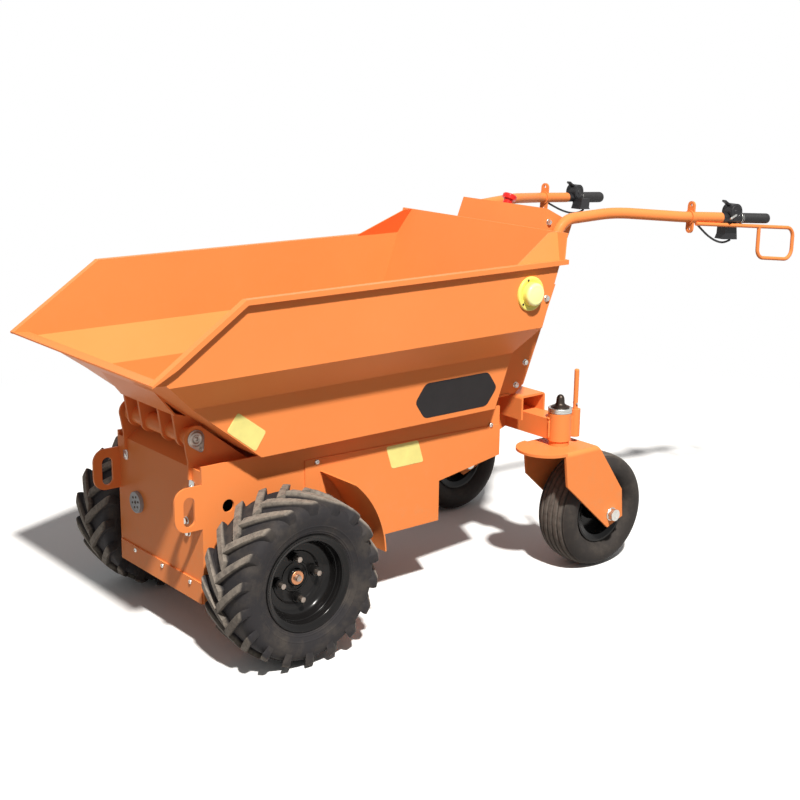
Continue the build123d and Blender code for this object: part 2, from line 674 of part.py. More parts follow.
def rear_bracket():
    """Plate from the chassis to the beam and the column's foot, with a tie-down strap over the beam."""
    beam_front = KINGPIN_X + BEAM_SIDE / 2
    front = KINGPIN_X + STRAP_FRONT
    rear = KINGPIN_X - STRAP_REAR
    leg = front - STRAP_PLATE
    plate = plate_xz([
        (CHASSIS_REAR, REAR_LOW_Z + BRACKET_FOOT), (CHASSIS_REAR, COLUMN_FOOT_Z), (leg, COLUMN_FOOT_Z),
        (leg, BEAM_HIGH_Z), (beam_front, BEAM_HIGH_Z), (beam_front, BEAM_LOW_Z),
    ], BRACKET_Y, BRACKET_Y + BRACKET_PLATE)
    strap = plate_xz([
        (front, STRAP_FOOT_Z), (front, COLUMN_FOOT_Z), (rear, COLUMN_FOOT_Z), (rear, BEAM_HIGH_Z),
        (rear + STRAP_PLATE, BEAM_HIGH_Z), (rear + STRAP_PLATE, COLUMN_FOOT_Z - STRAP_PLATE),
        (leg, COLUMN_FOOT_Z - STRAP_PLATE), (leg, STRAP_FOOT_Z),
    ], BRACKET_Y + BRACKET_PLATE, STRAP_Y)
    return plate + rounded(strap, [(front, COLUMN_FOOT_Z), (rear, COLUMN_FOOT_Z)], STRAP_BEND)


def column_front(z):
    """Front of the leaning column at a height."""
    return COLUMN_FOOT_X - (z - COLUMN_FOOT_Z) * tan(radians(COLUMN_LEAN))


def hollow_box(solid):
    """Closed sheet housing with the outer shape of a solid."""
    return solid - offset(solid, amount=-SHEET, kind=Kind.INTERSECTION)


def column():
    deep = COLUMN_DEPTH / cos(radians(COLUMN_LEAN))
    low = column_front(COLUMN_FOOT_Z)
    high = column_front(COLUMN_TOP_Z)
    corner = COLUMN_CORNER * tan(radians(COLUMN_LEAN))
    return hollow_box(plate_xz([
        (low, COLUMN_FOOT_Z), (high, COLUMN_TOP_Z), (high - deep, COLUMN_TOP_Z),
        (low - deep - corner, COLUMN_FOOT_Z + COLUMN_CORNER), (low - deep + COLUMN_CORNER, COLUMN_FOOT_Z),
    ], -COLUMN_HALF, COLUMN_HALF))


def console():
    """Wedge above the column whose panel slopes down to the operator."""
    deep = CONSOLE_DEPTH / cos(radians(COLUMN_LEAN))
    low = column_front(COLUMN_TOP_Z)
    high = column_front(CONSOLE_TOP_Z)
    slope = tan(radians(CONSOLE_SLOPE))
    rear_z = CONSOLE_TOP_Z - deep * slope / (1 + slope * tan(radians(COLUMN_LEAN)))
    return hollow_box(plate_xz([
        (low, COLUMN_TOP_Z), (high, CONSOLE_TOP_Z), (column_front(rear_z) - deep, rear_z),
        (low - deep, COLUMN_TOP_Z),
    ], -CONSOLE_HALF, CONSOLE_HALF))


def stop_button():
    """Mushroom stop button on the console's sloping panel."""
    tilt = radians(CONSOLE_SLOPE)
    foot = Vector(column_front(CONSOLE_TOP_Z) - STOP_BACK, STOP_Y, CONSOLE_TOP_Z - STOP_BACK * tan(tilt))
    panel = Plane(foot, x_dir=(0, 1, 0), z_dir=(-sin(tilt), 0, cos(tilt)))
    neck = Cylinder(STOP_NECK_DIA / 2, STOP_NECK_HIGH, align=(Align.CENTER, Align.CENTER, Align.MIN))
    head = Cylinder(STOP_HEAD_DIA / 2, STOP_HEAD_HIGH, align=(Align.CENTER, Align.CENTER, Align.MIN))
    head = fillet(head.edges().sort_by(Axis.Z)[-1], STOP_HEAD_EDGE)
    return panel * (neck + Pos(0, 0, STOP_NECK_HIGH) * head)


def handle_points():
    """Corners of the left handle's centre line."""
    y = CONSOLE_HALF + HANDLE_DIA / 2 + SEAT_GAP
    low_z = COLUMN_TOP_Z + HANDLE_FOOT_UP
    low = Vector(column_front(low_z) - HANDLE_SET_BACK, y, low_z)
    bend = Vector(column_front(HANDLE_BEND_Z) - HANDLE_SET_BACK, y, HANDLE_BEND_Z)
    crest = Vector(CREST_X, CREST_Y, CREST_Z)
    return [low, bend, crest, Vector(CLAMP_X, CLAMP_Y, CLAMP_Z), Vector(GRIP_END_X, GRIP_END_Y, GRIP_END_Z)]


def handle_plane(back):
    """Plane across the handle's last run, at a distance back from the grip's end, Z towards the end."""
    clamp, end = handle_points()[-2:]
    along = (end - clamp).normalized()
    return Plane(end - along * back, x_dir=(0, 1, 0), z_dir=along)


def handle_tube():
    """Bent tube that ends at the control, with the thinner bar for control and grip."""
    corners = handle_points()[:-1]
    end = handle_plane(GRIP_LENGTH + CONTROL_LENGTH)
    path = FilletPolyline(*corners, end.origin, radius=[HANDLE_BEND_R, CREST_BEND_R, CLAMP_BEND_R])
    bar_length = GRIP_LENGTH + CONTROL_LENGTH - GRIP_CAP
    bar = Cylinder(BAR_DIA / 2, bar_length, align=(Align.CENTER, Align.CENTER, Align.MIN))
    return swept_rod(path, HANDLE_DIA) + end * bar


def handle_clamp():
    """Collar with an upright plate, drilled at both ends."""
    clamp, end = handle_points()[-2:]
    place = Plane(clamp + (end - clamp).normalized() * CLAMP_SET_BACK, x_dir=(0, 1, 0), z_dir=end - clamp)
    straight = CLAMP_REACH - CLAMP_WIDTH / 2
    plate = Box(CLAMP_WIDTH, 2 * straight, CLAMP_PLATE)
    for side in (1, -1):
        plate += Pos(0, side * straight, 0) * Cylinder(CLAMP_WIDTH / 2, CLAMP_PLATE)
    hole = Cylinder(CLAMP_HOLE_DIA / 2, 2 * CLAMP_PLATE)
    for side in (1, -1):
        plate -= Pos(0, side * (CLAMP_REACH - CLAMP_HOLE_IN), 0) * hole
    collar = Cylinder(HANDLE_DIA / 2 + CLAMP_WALL, CLAMP_COLLAR)
    bore = Cylinder(HANDLE_DIA / 2 + TURN_FIT, 2 * CLAMP_COLLAR)
    return place * (plate + collar - bore)


def grip():
    plane = handle_plane(GRIP_LENGTH)
    body = Cylinder(GRIP_DIA / 2, GRIP_LENGTH, align=(Align.CENTER, Align.CENTER, Align.MIN))
    body = fillet(body.edges().sort_by(Axis.Z)[-1], GRIP_CAP)
    bore = Cylinder(BAR_DIA / 2 + TURN_FIT, 2 * (GRIP_LENGTH - GRIP_CAP) + 2 * SEAT_GAP)
    return plane * (body - bore)


def control(drop):
    """Clamp-on control: a barrel round the bar, a pod with a thumb lever, and a box that hangs below."""
    plane = handle_plane(GRIP_LENGTH + CONTROL_LENGTH - SEAT_GAP)
    length = CONTROL_LENGTH - 2 * SEAT_GAP
    up = plane.to_local_coords(Vector(0, 0, 1) + plane.origin).Y
    barrel = Cylinder(CONTROL_DIA / 2, length, align=(Align.CENTER, Align.CENTER, Align.MIN))
    pod_at = Pos(0, up * POD_RISE, length - POD_FROM_GRIP)
    pod = pod_at * Rot(0, 90, 0) * Cylinder(POD_RADIUS, POD_WIDTH)
    lever = Box(LEVER_WIDTH, LEVER_THICK, LEVER_LENGTH, align=(Align.CENTER, Align.CENTER, Align.MAX))
    lever = pod_at * Rot(up * LEVER_TILT, 0, 0) * Pos(0, up * POD_RISE / 2, 0) * lever
    low = -up * drop
    foot = -up * (drop - BOX_FOOT)
    outline = [(0, BOX_FRONT), (foot, BOX_FRONT), (low, BOX_FRONT - BOX_FLARE), (low, length + BOX_HEEL),
               (-up * GRIP_DIA, length), (0, length)]
    face = make_face(Polyline([(0, y, z) for y, z in outline], close=True))
    box = Pos(-BOX_INBOARD - BOX_WIDTH / 2, 0, 0) * extrude(face, amount=BOX_WIDTH, dir=(1, 0, 0))
    bore = Cylinder(BAR_DIA / 2 + TURN_FIT, 4 * CONTROL_LENGTH)
    return plane * (barrel + pod + lever + box - bore)


def guard_rod():
    """Rod under the left grip that turns down into a closed loop, with a sleeve on its front leg."""
    tube = handle_plane(ROD_BACK)
    apart = (HANDLE_DIA + ROD_DIA) / 2 + SEAT_GAP
    down = tube.to_local_coords(Vector(0, 0, -1) + tube.origin).normalized()
    start = tube.from_local_coords(Vector(down.X, down.Y, 0).normalized().rotate(Axis.Z, ROD_TURN) * apart)
    top = Vector(LOOP_REAR_X, LOOP_Y, LOOP_TOP_Z)
    weld = start + (top - start) * ((LOOP_FRONT_X - start.X) / (LOOP_REAR_X - start.X))
    low = Vector(LOOP_FRONT_X, weld.Y, LOOP_LOW_Z + LOOP_RISE)
    path = FilletPolyline(start, top, (LOOP_REAR_X, LOOP_Y, LOOP_LOW_Z), low, weld, radius=LOOP_BEND_R)
    sleeve = rod_z(LOOP_FRONT_X, weld.Y, SLEEVE_DIA, SLEEVE_LOW_Z, weld.Z)
    return swept_rod(path, ROD_DIA) + sleeve


def lead(drop):
    """Thin lead that sags from the clamp to the control's box; under a smaller box it sags less."""
    tube = handle_plane(LEAD_EXIT_BACK).origin
    exit_point = tube - Vector(0, 0, HANDLE_DIA / 2 + LEAD_DIA / 2)
    box = handle_plane(GRIP_LENGTH + LEAD_ENTRY_BACK).origin
    entry = box - Vector(0, BOX_INBOARD, drop + LEAD_DIA / 2)
    lift = (BOX_DROP - drop) / len(LEAD_MIDDLE)
    middle = [(x, y, z + lift * step) for step, (x, y, z) in enumerate(LEAD_MIDDLE, 1)]
    path = FilletPolyline(exit_point, *middle, entry, radius=LEAD_BENDS)
    return swept_rod(path, LEAD_DIA)


def skip_hinge():
    """Hinge tube with two pairs of lugs up to a folded beam under the chute."""
    half = EAR_Y - HINGE_SIDE_GAP
    nose = (HINGE_X + PIVOT_BEAM_NOSE, HINGE_Z + PIVOT_BEAM_RISE)
    front_x = HINGE_X + PIVOT_BEAM_FRONT
    back_x = HINGE_X - PIVOT_BEAM_BACK
    back = (back_x, chute_under(back_x))
    heel_x = HINGE_X - HINGE_LUG_BACK
    corners = [(front_x, chute_under(front_x)), nose, back]
    face = make_face(Polyline([(x, -PIVOT_BEAM_HALF, z) for x, z in corners], close=True))
    ring = face - offset(face, amount=-SHEET, kind=Kind.INTERSECTION)
    hinge = extrude(ring, amount=2 * PIVOT_BEAM_HALF, dir=(0, 1, 0))
    hinge += rod_y(HINGE_X, HINGE_Z, HINGE_TUBE_DIA, -half, half)
    outline = [nose, (HINGE_X + HINGE_LUG_RADIUS, HINGE_Z), (HINGE_X - HINGE_LUG_RADIUS, HINGE_Z),
               (heel_x, chute_under(heel_x)), back]
    for side in (1, -1):
        for y in (HINGE_LUG_OUTER, HINGE_LUG_INNER):
            sides = (y - HINGE_LUG / 2, y + HINGE_LUG / 2)
            lug = plate_xz(outline, *sides) + rod_y(HINGE_X, HINGE_Z, 2 * HINGE_LUG_RADIUS, *sides)
            hinge += on_side(lug, side)
    return hinge - rod_y(HINGE_X, HINGE_Z, HINGE_PIN_DIA + 2 * TURN_FIT, -2 * half, 2 * half)


def lamp():
    """Round marker lamp: a flat base and a domed lens."""
    base = rod_y(LAMP_X, LAMP_Z, LAMP_DIA, UPPER_HALF, UPPER_HALF + LAMP_BASE)
    lens = rod_y(LAMP_X, LAMP_Z, LENS_DIA, UPPER_HALF + LAMP_BASE, UPPER_HALF + LAMP_REACH)
    return base + fillet(lens.edges().sort_by(Axis.Y)[-1], LENS_EDGE)


def skip_profile(inset):
    """Side view of the skip, drawn in by inset along chute, floor and rear wall, open at the top."""
    chute = chute_angle()
    lean = atan2(FLOOR_REAR - RIM_REAR_X, RIM_Z - FLOOR_Z)
    strip = atan2(LIP_RISE, LIP_STRIP)
    front_shift = inset * tan(chute / 2)
    rear_shift = inset * tan((pi / 2 - lean) / 2)
    knee_shift = inset * tan((chute - strip) / 2)
    knee_x = LIP_X - LIP_STRIP - inset * sin(strip) - knee_shift * cos(strip)
    knee_z = LIP_Z - LIP_RISE + inset * cos(strip) - knee_shift * sin(strip)
    top_x = RIM_REAR_X + inset / cos(lean) - (BACK_TOP_Z - RIM_Z) * tan(lean)
    return [
        (LIP_X, LIP_Z + inset / cos(strip)), (knee_x, knee_z), (FLOOR_FRONT - front_shift, FLOOR_Z + inset),
        (FLOOR_REAR + rear_shift, FLOOR_Z + inset), (top_x, BACK_TOP_Z),
    ]


def skip_section(inset):
    """Cross-section of the skip, drawn in by inset along the side walls."""
    return mirrored([
        (FLOOR_HALF - inset, FLOOR_Z - SKIP_GAP), (FLOOR_HALF - inset, FLOOR_Z),
        (LOWER_HALF - inset, LOWER_TOP_Z), (UPPER_HALF - inset, UPPER_LOW_Z),
        (UPPER_HALF - inset, BACK_TOP_Z + RIM_DROP),
    ])


def skip_solids():
    """Outer and inner section run along the skip, and outer and inner profile run across it."""
    reach = (2 * RIM_REAR_X, 2 * LIP_X)
    wide = 2 * UPPER_HALF
    top = [(LIP_X, BACK_TOP_Z)]
    section = plate_yz(skip_section(0), *reach)
    hollow = plate_yz(skip_section(SKIP_SHEET), *reach)
    profile = plate_xz(skip_profile(0) + top, -wide, wide)
    inside = plate_xz(skip_profile(SKIP_SHEET) + top, -wide, wide)
    return section, hollow, profile, inside


def ahead_of_back():
    """Space in front of the seam between floor and rear wall."""
    return block((FLOOR_REAR + SKIP_SHEET, 2 * LIP_X), (-2 * UPPER_HALF, 2 * UPPER_HALF), (0, 2 * RIM_Z))


def rim_edge():
    """Top edge of the side wall, from behind the rear corner to the lip."""
    return [(RIM_REAR_X - RIM_TAIL, RIM_Z), (RIM_FRONT_X, RIM_Z), (LIP_X, LIP_Z + SKIP_SHEET)]


def below_edge(depth):
    """Area of the side view that lies up to depth under the rim's edge, tapered at the lip."""
    edge = rim_edge()
    slope = atan2(edge[1][1] - edge[2][1], edge[2][0] - edge[1][0])
    knee = depth * tan(slope / 2)
    low = RIM_Z - depth
    lip_z = edge[2][1]
    taper_z = lip_z + RIM_TAPER * tan(slope) - depth / cos(slope)
    return edge + [(LIP_X, lip_z - SKIP_SHEET / cos(slope)), (LIP_X - RIM_TAPER, taper_z),
                   (RIM_FRONT_X - knee, low), (edge[0][0], low)]


def gusset(inside):
    """Corner plate that leans in from the rim to the top of the rear wall."""
    lean = GUSSET_LEAN / (BACK_TOP_Z - RIM_Z)
    low = RIM_Z - SKIP_SHEET
    tip_x = RIM_REAR_X + GUSSET_RUN
    rear_x = RIM_REAR_X - GUSSET_RUN
    corner = [(tip_x, low), (tip_x, RIM_Z), (RIM_REAR_X + GUSSET_TOP_RUN, BACK_TOP_Z),
              (rear_x, BACK_TOP_Z), (rear_x, low)]
    outline = Polyline([(x, UPPER_HALF - (z - low) * lean, z) for x, z in corner], close=True)
    return extrude(make_face(outline), amount=SKIP_SHEET, dir=(0, -1, 0)) & inside


def skip_side(section, hollow, profile, inside):
    """Side wall that stands outside floor and chute, with the folded rim and the rear corner's gusset."""
    foot = [(LIP_X, 0), (2 * RIM_REAR_X, 0), (2 * RIM_REAR_X, RIM_Z)]
    under = plate_xz(rim_edge() + foot, 0, 2 * UPPER_HALF)
    shell = (section - hollow) & under
    wall = (shell & inside) + (shell & profile & ahead_of_back())
    outer = UPPER_HALF + RIM_OVERHANG
    fold = plate_xz(below_edge(SKIP_SHEET), UPPER_HALF, outer)
    fold += plate_xz(below_edge(RIM_DROP), outer - SKIP_SHEET, outer)
    return wall + fold + gusset(inside)


def skip_floor(hollow, profile, inside):
    """Floor, chute and lip between the side walls."""
    return (profile - inside) & hollow & ahead_of_back()


def skip_back(section, profile, inside):
    """Rear wall, wider above the rim."""
    outer = UPPER_HALF + RIM_OVERHANG
    band = profile - inside - ahead_of_back()
    upper = plate_yz(mirrored([(outer, RIM_Z), (BACK_TOP_HALF, BACK_TOP_Z)]), 2 * RIM_REAR_X, 0)
    return (band & section) + (band & upper)


def build_all():
    section, hollow, profile, inside = skip_solids()
    single = {
        "front_panel": front_panel(), "deck": deck(), "rear_panel": rear_panel(), "belly_pan": belly_pan(),
        "charging_cap": charging_cap(), "drive_axle": drive_axle(), "battery_pack": battery_pack(),
        "hinge_pin": hinge_pin(), "rear_beam": rear_beam(), "column": column(), "console": console(),
        "stop_button": stop_button(), "guard_rod": guard_rod(), "skip_hinge": skip_hinge(),
        "skip_floor": skip_floor(hollow, profile, inside),
        "skip_back": skip_back(section, profile, inside),
    }
    drive = Pos(0, DRIVE_TRACK / 2, AXLE_Z)
    caster = Pos(CASTER_X, CASTER_TRACK / 2, CASTER_Z)
    paired = {
        "side_plate": side_plate(), "cover": cover(), "mudguard": mudguard(), "lock_pin": lock_pin(),
        "rear_bracket": rear_bracket(), "handle_tube": handle_tube(), "handle_clamp": handle_clamp(),
        "grip": grip(), "hinge_ear": hinge_ear(),
        "skip_side": skip_side(section, hollow, profile, inside), "lamp": lamp(),
        "drive_tyre": drive * drive_tyre(), "drive_rim": drive * drive_rim(),
        "caster_fork": caster_fork(), "kingpin": kingpin(),
        "caster_tyre": caster * caster_tyre(), "caster_rim": caster * caster_rim(),
    }
    for node, shape in single.items():
        save(node, shape)
    for name, drop in (("left", BOX_DROP), ("right", SMALL_BOX_DROP)):
        save(f"control_{name}", on_side(control(drop), SIDES[name]))
        save(f"lead_{name}", on_side(lead(drop), SIDES[name]))
    for node, shape in paired.items():
        for name, side in SIDES.items():
            save(f"{node}_{name}", on_side(shape, side))


if __name__ == "__main__":
    os.makedirs("parts", exist_ok=True)
    build_all()
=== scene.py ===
import json
import bmesh
import bpy
import numpy as np
from mathutils import Matrix, Vector


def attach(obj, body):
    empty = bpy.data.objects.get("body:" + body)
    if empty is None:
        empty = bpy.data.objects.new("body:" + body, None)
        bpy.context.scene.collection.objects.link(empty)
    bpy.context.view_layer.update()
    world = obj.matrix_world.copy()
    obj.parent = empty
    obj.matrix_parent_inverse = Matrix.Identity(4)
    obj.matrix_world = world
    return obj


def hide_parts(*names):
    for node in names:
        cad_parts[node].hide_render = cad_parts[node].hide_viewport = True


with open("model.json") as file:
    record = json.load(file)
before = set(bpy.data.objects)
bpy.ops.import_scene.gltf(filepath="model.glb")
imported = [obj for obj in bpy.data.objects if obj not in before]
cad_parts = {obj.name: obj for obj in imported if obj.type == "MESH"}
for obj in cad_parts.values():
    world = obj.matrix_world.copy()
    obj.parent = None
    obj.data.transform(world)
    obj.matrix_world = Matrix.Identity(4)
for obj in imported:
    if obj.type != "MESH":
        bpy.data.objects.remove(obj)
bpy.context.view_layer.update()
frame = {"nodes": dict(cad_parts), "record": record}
nodes = frame["nodes"]
axleX = 0.70775   # where the drive axle lies along X, metres
sides = (("left", 1), ("right", -1))
print("frame loaded:", len(nodes), "nodes")


# Shader maths

class Wire:
    # one output socket, so that maths on it reads as a plain expression; first | second is the larger of the two

    def __init__(self, graph, socket):
        self.graph = graph
        self.socket = socket

    def maths(self, operation, first, second):
        return self.graph.add("ShaderNodeMath", {"operation": operation}, {0: first, 1: second})

    def __add__(self, other):
        return self.maths("ADD", self, other)

    def __sub__(self, other):
        return self.maths("SUBTRACT", self, other)

    def __rsub__(self, other):
        return self.maths("SUBTRACT", other, self)

    def __mul__(self, other):
        return self.maths("MULTIPLY", self, other)

    def __pow__(self, other):
        return self.maths("POWER", self, other)

    def __or__(self, other):
        return self.maths("MAXIMUM", self, other)

    __radd__ = __add__
    __rmul__ = __mul__


class Graph:
    # a node tree, and the one method that adds any node to it: its settings first, then its sockets' values or links

    def __init__(self, tree):
        self.tree = tree

    def add(self, kind, settings=None, sockets=None, out=0):
        node = self.tree.nodes.new(kind)
        for key, value in (settings or {}).items():
            setattr(node, key, value)
        for key, value in (sockets or {}).items():
            self.feed(node.inputs[key], value)
        return Wire(self, node.outputs[out])

    def feed(self, target, value):
        if isinstance(value, Wire):
            self.tree.links.new(value.socket, target)
        else:
            target.default_value = value


class Finish(Graph):
    # one material: its Principled shader, and the patterns that feed it

    def __init__(self, name, **values):
        self.material = bpy.data.materials.new(name)
        self.material.use_nodes = True
        super().__init__(self.material.node_tree)
        self.shader = self.tree.nodes["Principled BSDF"]
        self.set(**values)

    def set(self, **sockets):
        for key, value in sockets.items():
            self.feed(self.shader.inputs[key.replace("_", " ")], value)
        return self.material

    def place(self):
        return self.add("ShaderNodeTexCoord", out="Object")

    def split(self):
        parts = self.add("ShaderNodeSeparateXYZ", sockets={0: self.place()})
        return [Wire(self, output) for output in parts.socket.node.outputs]

    def noise(self, scale, detail=3.0, roughness=0.5):
        sockets = {"Vector": self.place(), "Scale": scale, "Detail": detail, "Roughness": roughness}
        return self.add("ShaderNodeTexNoise", sockets=sockets)

    def spread(self, value, low, high, first=0.0, last=1.0):
        # a smooth step from first to last while the value goes from low to high
        sockets = {"Value": value, "From Min": low, "From Max": high, "To Min": first, "To Max": last}
        return self.add("ShaderNodeMapRange", {"interpolation_type": "SMOOTHSTEP"}, sockets)

    def mix(self, factor, first, second):
        return self.add("ShaderNodeMix", {"data_type": "RGBA"}, {0: factor, 6: first, 7: second}, out=2)

    def bump(self, height, strength, distance):
        return self.add("ShaderNodeBump", sockets={"Height": height, "Strength": strength, "Distance": distance})


def shade(red, green, blue):
    # sRGB from 0 to 255 as a linear colour
    value = np.array([red, green, blue]) / 255.0
    linear = np.where(value <= 0.04045, value / 12.92, ((value + 0.055) / 1.055) ** 2.4)
    return (*linear.tolist(), 1.0)


# Finishes

def makeOrangePaint():
    # enamel: two close tones in a broad cloud, a fine orange peel, and specks of yard dust that thin out with height
    look = {"paint": shade(238, 143, 81), "deep": shade(232, 132, 71), "dust": shade(208, 152, 108),
            "roughness": 0.4, "cloudScale": 3.0, "peelScale": 420.0, "speckScale": 38.0,
            "dustHeight": (0.1, 0.45), "dustShare": (0.3, 0.05), "speckEdge": (0.45, 0.75)}
    finish = Finish("orange_paint", Coat_Weight=0.01, Coat_Roughness=0.12, Specular_IOR_Level=0.07)
    cloud = finish.noise(look["cloudScale"], 4.0)
    peel = finish.noise(look["peelScale"], 2.0)
    specks = finish.noise(look["speckScale"], 8.0, 0.7)
    height = finish.split()[2]
    dust = finish.spread(height, *look["dustHeight"], *look["dustShare"]) * finish.spread(specks, *look["speckEdge"])
    tone = finish.mix(dust, finish.mix(cloud, look["paint"], look["deep"]), look["dust"])
    rough = look["roughness"] + (cloud - 0.5) * 0.12 + dust * 0.3
    return finish.set(Base_Color=tone, Roughness=rough, Normal=finish.bump(peel, 0.08, 0.0004))


def makeTyreRubber(name, center, wornFrom, wornTo, rubber, worn):
    # dark rubber with dusty patches, pale where the distance from the axle at center reaches the worn tread
    look = {"rubber": rubber, "worn": worn, "dust": shade(86, 79, 72), "roughness": 0.7, "cloudScale": 16.0,
            "grainScale": 320.0, "scuffScale": 70.0, "dustShare": 0.55, "leastWear": 0.45}
    finish = Finish(name, Specular_IOR_Level=0.25)
    x, _, z = finish.split()
    fore, up = x - center[0], z - center[1]
    radius = (fore * fore + up * up) ** 0.5
    cloud = finish.noise(look["cloudScale"], 6.0, 0.65)
    grain = finish.noise(look["grainScale"], 3.0)
    scuff = finish.noise(look["scuffScale"], 6.0, 0.7)
    wear = finish.spread(radius, wornFrom, wornTo) * finish.spread(scuff, 0.3, 0.62, look["leastWear"], 1.0)
    patches = finish.spread(cloud, 0.4, 0.75, 0.0, look["dustShare"])
    tone = finish.mix(wear, finish.mix(patches, look["rubber"], look["dust"]), look["worn"])
    rough = look["roughness"] + cloud * 0.2
    return finish.set(Base_Color=tone, Roughness=rough, Normal=finish.bump(grain + scuff, 0.3, 0.0008))


def makeGloss(name, color, roughness, vary=0.05, grain=500.0, rise=0.06, shine=0.3):
    # paint or plastic: a cloud lifts the colour and shifts the roughness, and a fine grain gives the bump
    look = {"lift": 1.4, "floor": 0.003, "cloudScale": 26.0, "roughShare": 4}
    finish = Finish(name, Coat_Weight=0.02, Coat_Roughness=0.1, Specular_IOR_Level=shine)
    cloud = finish.noise(look["cloudScale"], 5.0, 0.6)
    fine = finish.noise(grain, 2.0)
    lifted = tuple(min(1.0, channel * look["lift"] + look["floor"]) for channel in color[:3]) + (1.0,)
    rough = roughness + (cloud - 0.5) * vary * look["roughShare"]
    return finish.set(Base_Color=finish.mix(cloud, color, lifted), Roughness=rough,
                      Normal=finish.bump(fine, rise, 0.0005))


def makeMetal(name, color, roughness, stain=0.72):
    # bare metal: a cloud darkens the colour to stain times itself and shifts the roughness
    look = {"cloudScale": 70.0, "grainScale": 600.0, "vary": 0.25}
    finish = Finish(name, Metallic=1.0)
    cloud = finish.noise(look["cloudScale"], 6.0, 0.65)
    fine = finish.noise(look["grainScale"], 2.0)
    tone = finish.mix(cloud, color, tuple(channel * stain for channel in color[:3]) + (1.0,))
    rough = roughness + (cloud - 0.5) * look["vary"]
    return finish.set(Base_Color=tone, Roughness=rough, Normal=finish.bump(fine, 0.05, 0.0004))


def makeLens():
    # yellow sides that turn pale towards the lens's face, by the distance out from the machine's middle
    look = {"side": shade(234, 224, 116), "face": shade(250, 248, 170), "from": 0.342, "to": 0.3515}
    finish = Finish("pale_lens", Coat_Weight=0.05, Coat_Roughness=0.08, Specular_IOR_Level=0.35)
    out = finish.split()[1]
    cloud = finish.noise(40.0, 4.0)
    rise = finish.spread((out * out) ** 0.5, look["from"], look["to"])
    tone = finish.mix(rise, look["side"], look["face"])
    return finish.set(Base_Color=tone, Roughness=0.2 + cloud * 0.1)


finishes = {
    "orange_paint": makeOrangePaint(),
    "tyre_rubber": makeTyreRubber("tyre_rubber", (axleX, 0.203), 0.189, 0.1965, shade(41, 39, 41),
                                  shade(134, 125, 115)),
    "black_paint": makeGloss("black_paint", shade(18, 17, 17), 0.2, 0.03, shine=0.15),
    "grip_rubber": makeGloss("grip_rubber", shade(32, 32, 33), 0.58, 0.04, 260.0, 0.2),
    "black_plastic": makeGloss("black_plastic", shade(30, 30, 32), 0.42, 0.04, 380.0, 0.18),
    "grey_plastic": makeGloss("grey_plastic", shade(142, 143, 144), 0.48),
    "yellow_lens": makeGloss("yellow_lens", shade(218, 206, 102), 0.3),
    "red_plastic": makeGloss("red_plastic", shade(196, 30, 24), 0.3),
    "zinc": makeMetal("zinc", shade(205, 205, 200), 0.34),
    "bare_steel": makeMetal("bare_steel", shade(116, 114, 112), 0.42),
    "battery_case": makeGloss("battery_case", shade(60, 60, 62), 0.5),
}
casterRubber = makeTyreRubber("caster_rubber", (axleX - 1.007, 0.157), 0.147, 0.155, shade(47, 43, 41),
                              shade(102, 94, 87))
paleLens = makeLens()
copperSteel = makeMetal("copper_steel", shade(196, 138, 102), 0.36)
darkSteel = makeMetal("dark_steel", shade(74, 66, 60), 0.4)
yellowPlate = makeGloss("yellow_plate", shade(214, 204, 125), 0.42, shine=0.15)
darkPlate = makeGloss("dark_plate", shade(34, 32, 33), 0.42, shine=0.12)
dullZinc = makeMetal("dull_zinc", shade(168, 156, 146), 0.46, 0.6)
for part in frame["record"]["subparts"]:
    mesh = nodes[part["node"]].data
    mesh.materials.clear()
    mesh.materials.append(finishes[part["material_slot"]])
print("finishes made:", len(bpy.data.materials))


# Stage, light and camera

def makeFloor():
    # pale floor that fades into the white backdrop, and is darker for light that bounces up from it
    look = {"half": 40.0, "color": shade(250, 250, 250), "bounce": shade(118, 118, 118), "drop": 0.0005,
            "fadeStart": 1.2, "fadeEnd": 2.6}
    corner = np.array([[-1, -1], [1, -1], [1, 1], [-1, 1]]) * look["half"]
    points = np.column_stack([corner, np.full(4, -look["drop"])])
    mesh = bpy.data.meshes.new("floor")
    mesh.from_pydata(points.tolist(), [], [(0, 1, 2, 3)])
    finish = Finish("floor", Roughness=0.9, Specular_IOR_Level=0.1)
    bounced = finish.add("ShaderNodeLightPath", out="Is Diffuse Ray")
    finish.set(Base_Color=finish.mix(bounced, look["color"], look["bounce"]))
    far = finish.add("ShaderNodeVectorMath", {"operation": "LENGTH"}, {0: finish.place()}, out="Value")
    fade = finish.spread(far, look["fadeStart"], look["fadeEnd"]) * (1 - bounced)
    white = finish.add("ShaderNodeEmission", sockets={"Color": (1, 1, 1, 1), "Strength": 1.0})
    both = finish.add("ShaderNodeMixShader", sockets={0: fade, 1: Wire(finish, finish.shader.outputs[0]), 2: white})
    finish.feed(finish.tree.nodes["Material Output"].inputs["Surface"], both)
    mesh.materials.append(finish.material)
    floor = bpy.data.objects.new("floor", mesh)
    bpy.context.scene.collection.objects.link(floor)


def makeKeyLamp():
    # one small far disc, so that the shadows run and soften as in the photograph
    look = {"place": (4.46, 8.83, 13.15), "aim": (0.6, 0.05, 0.35), "size": 0.9, "power": 4350.0,
            "color": (1.0, 0.97, 0.92)}
    data = bpy.data.lights.new("key", "AREA")
    data.shape = "DISK"
    data.size = look["size"]
    data.energy = look["power"]
    data.color = look["color"]
    lamp = bpy.data.objects.new("key", data)
    lamp.location = look["place"]
    lamp.rotation_euler = (Vector(look["aim"]) - Vector(look["place"])).to_track_quat("-Z", "Y").to_euler()
    bpy.context.scene.collection.objects.link(lamp)


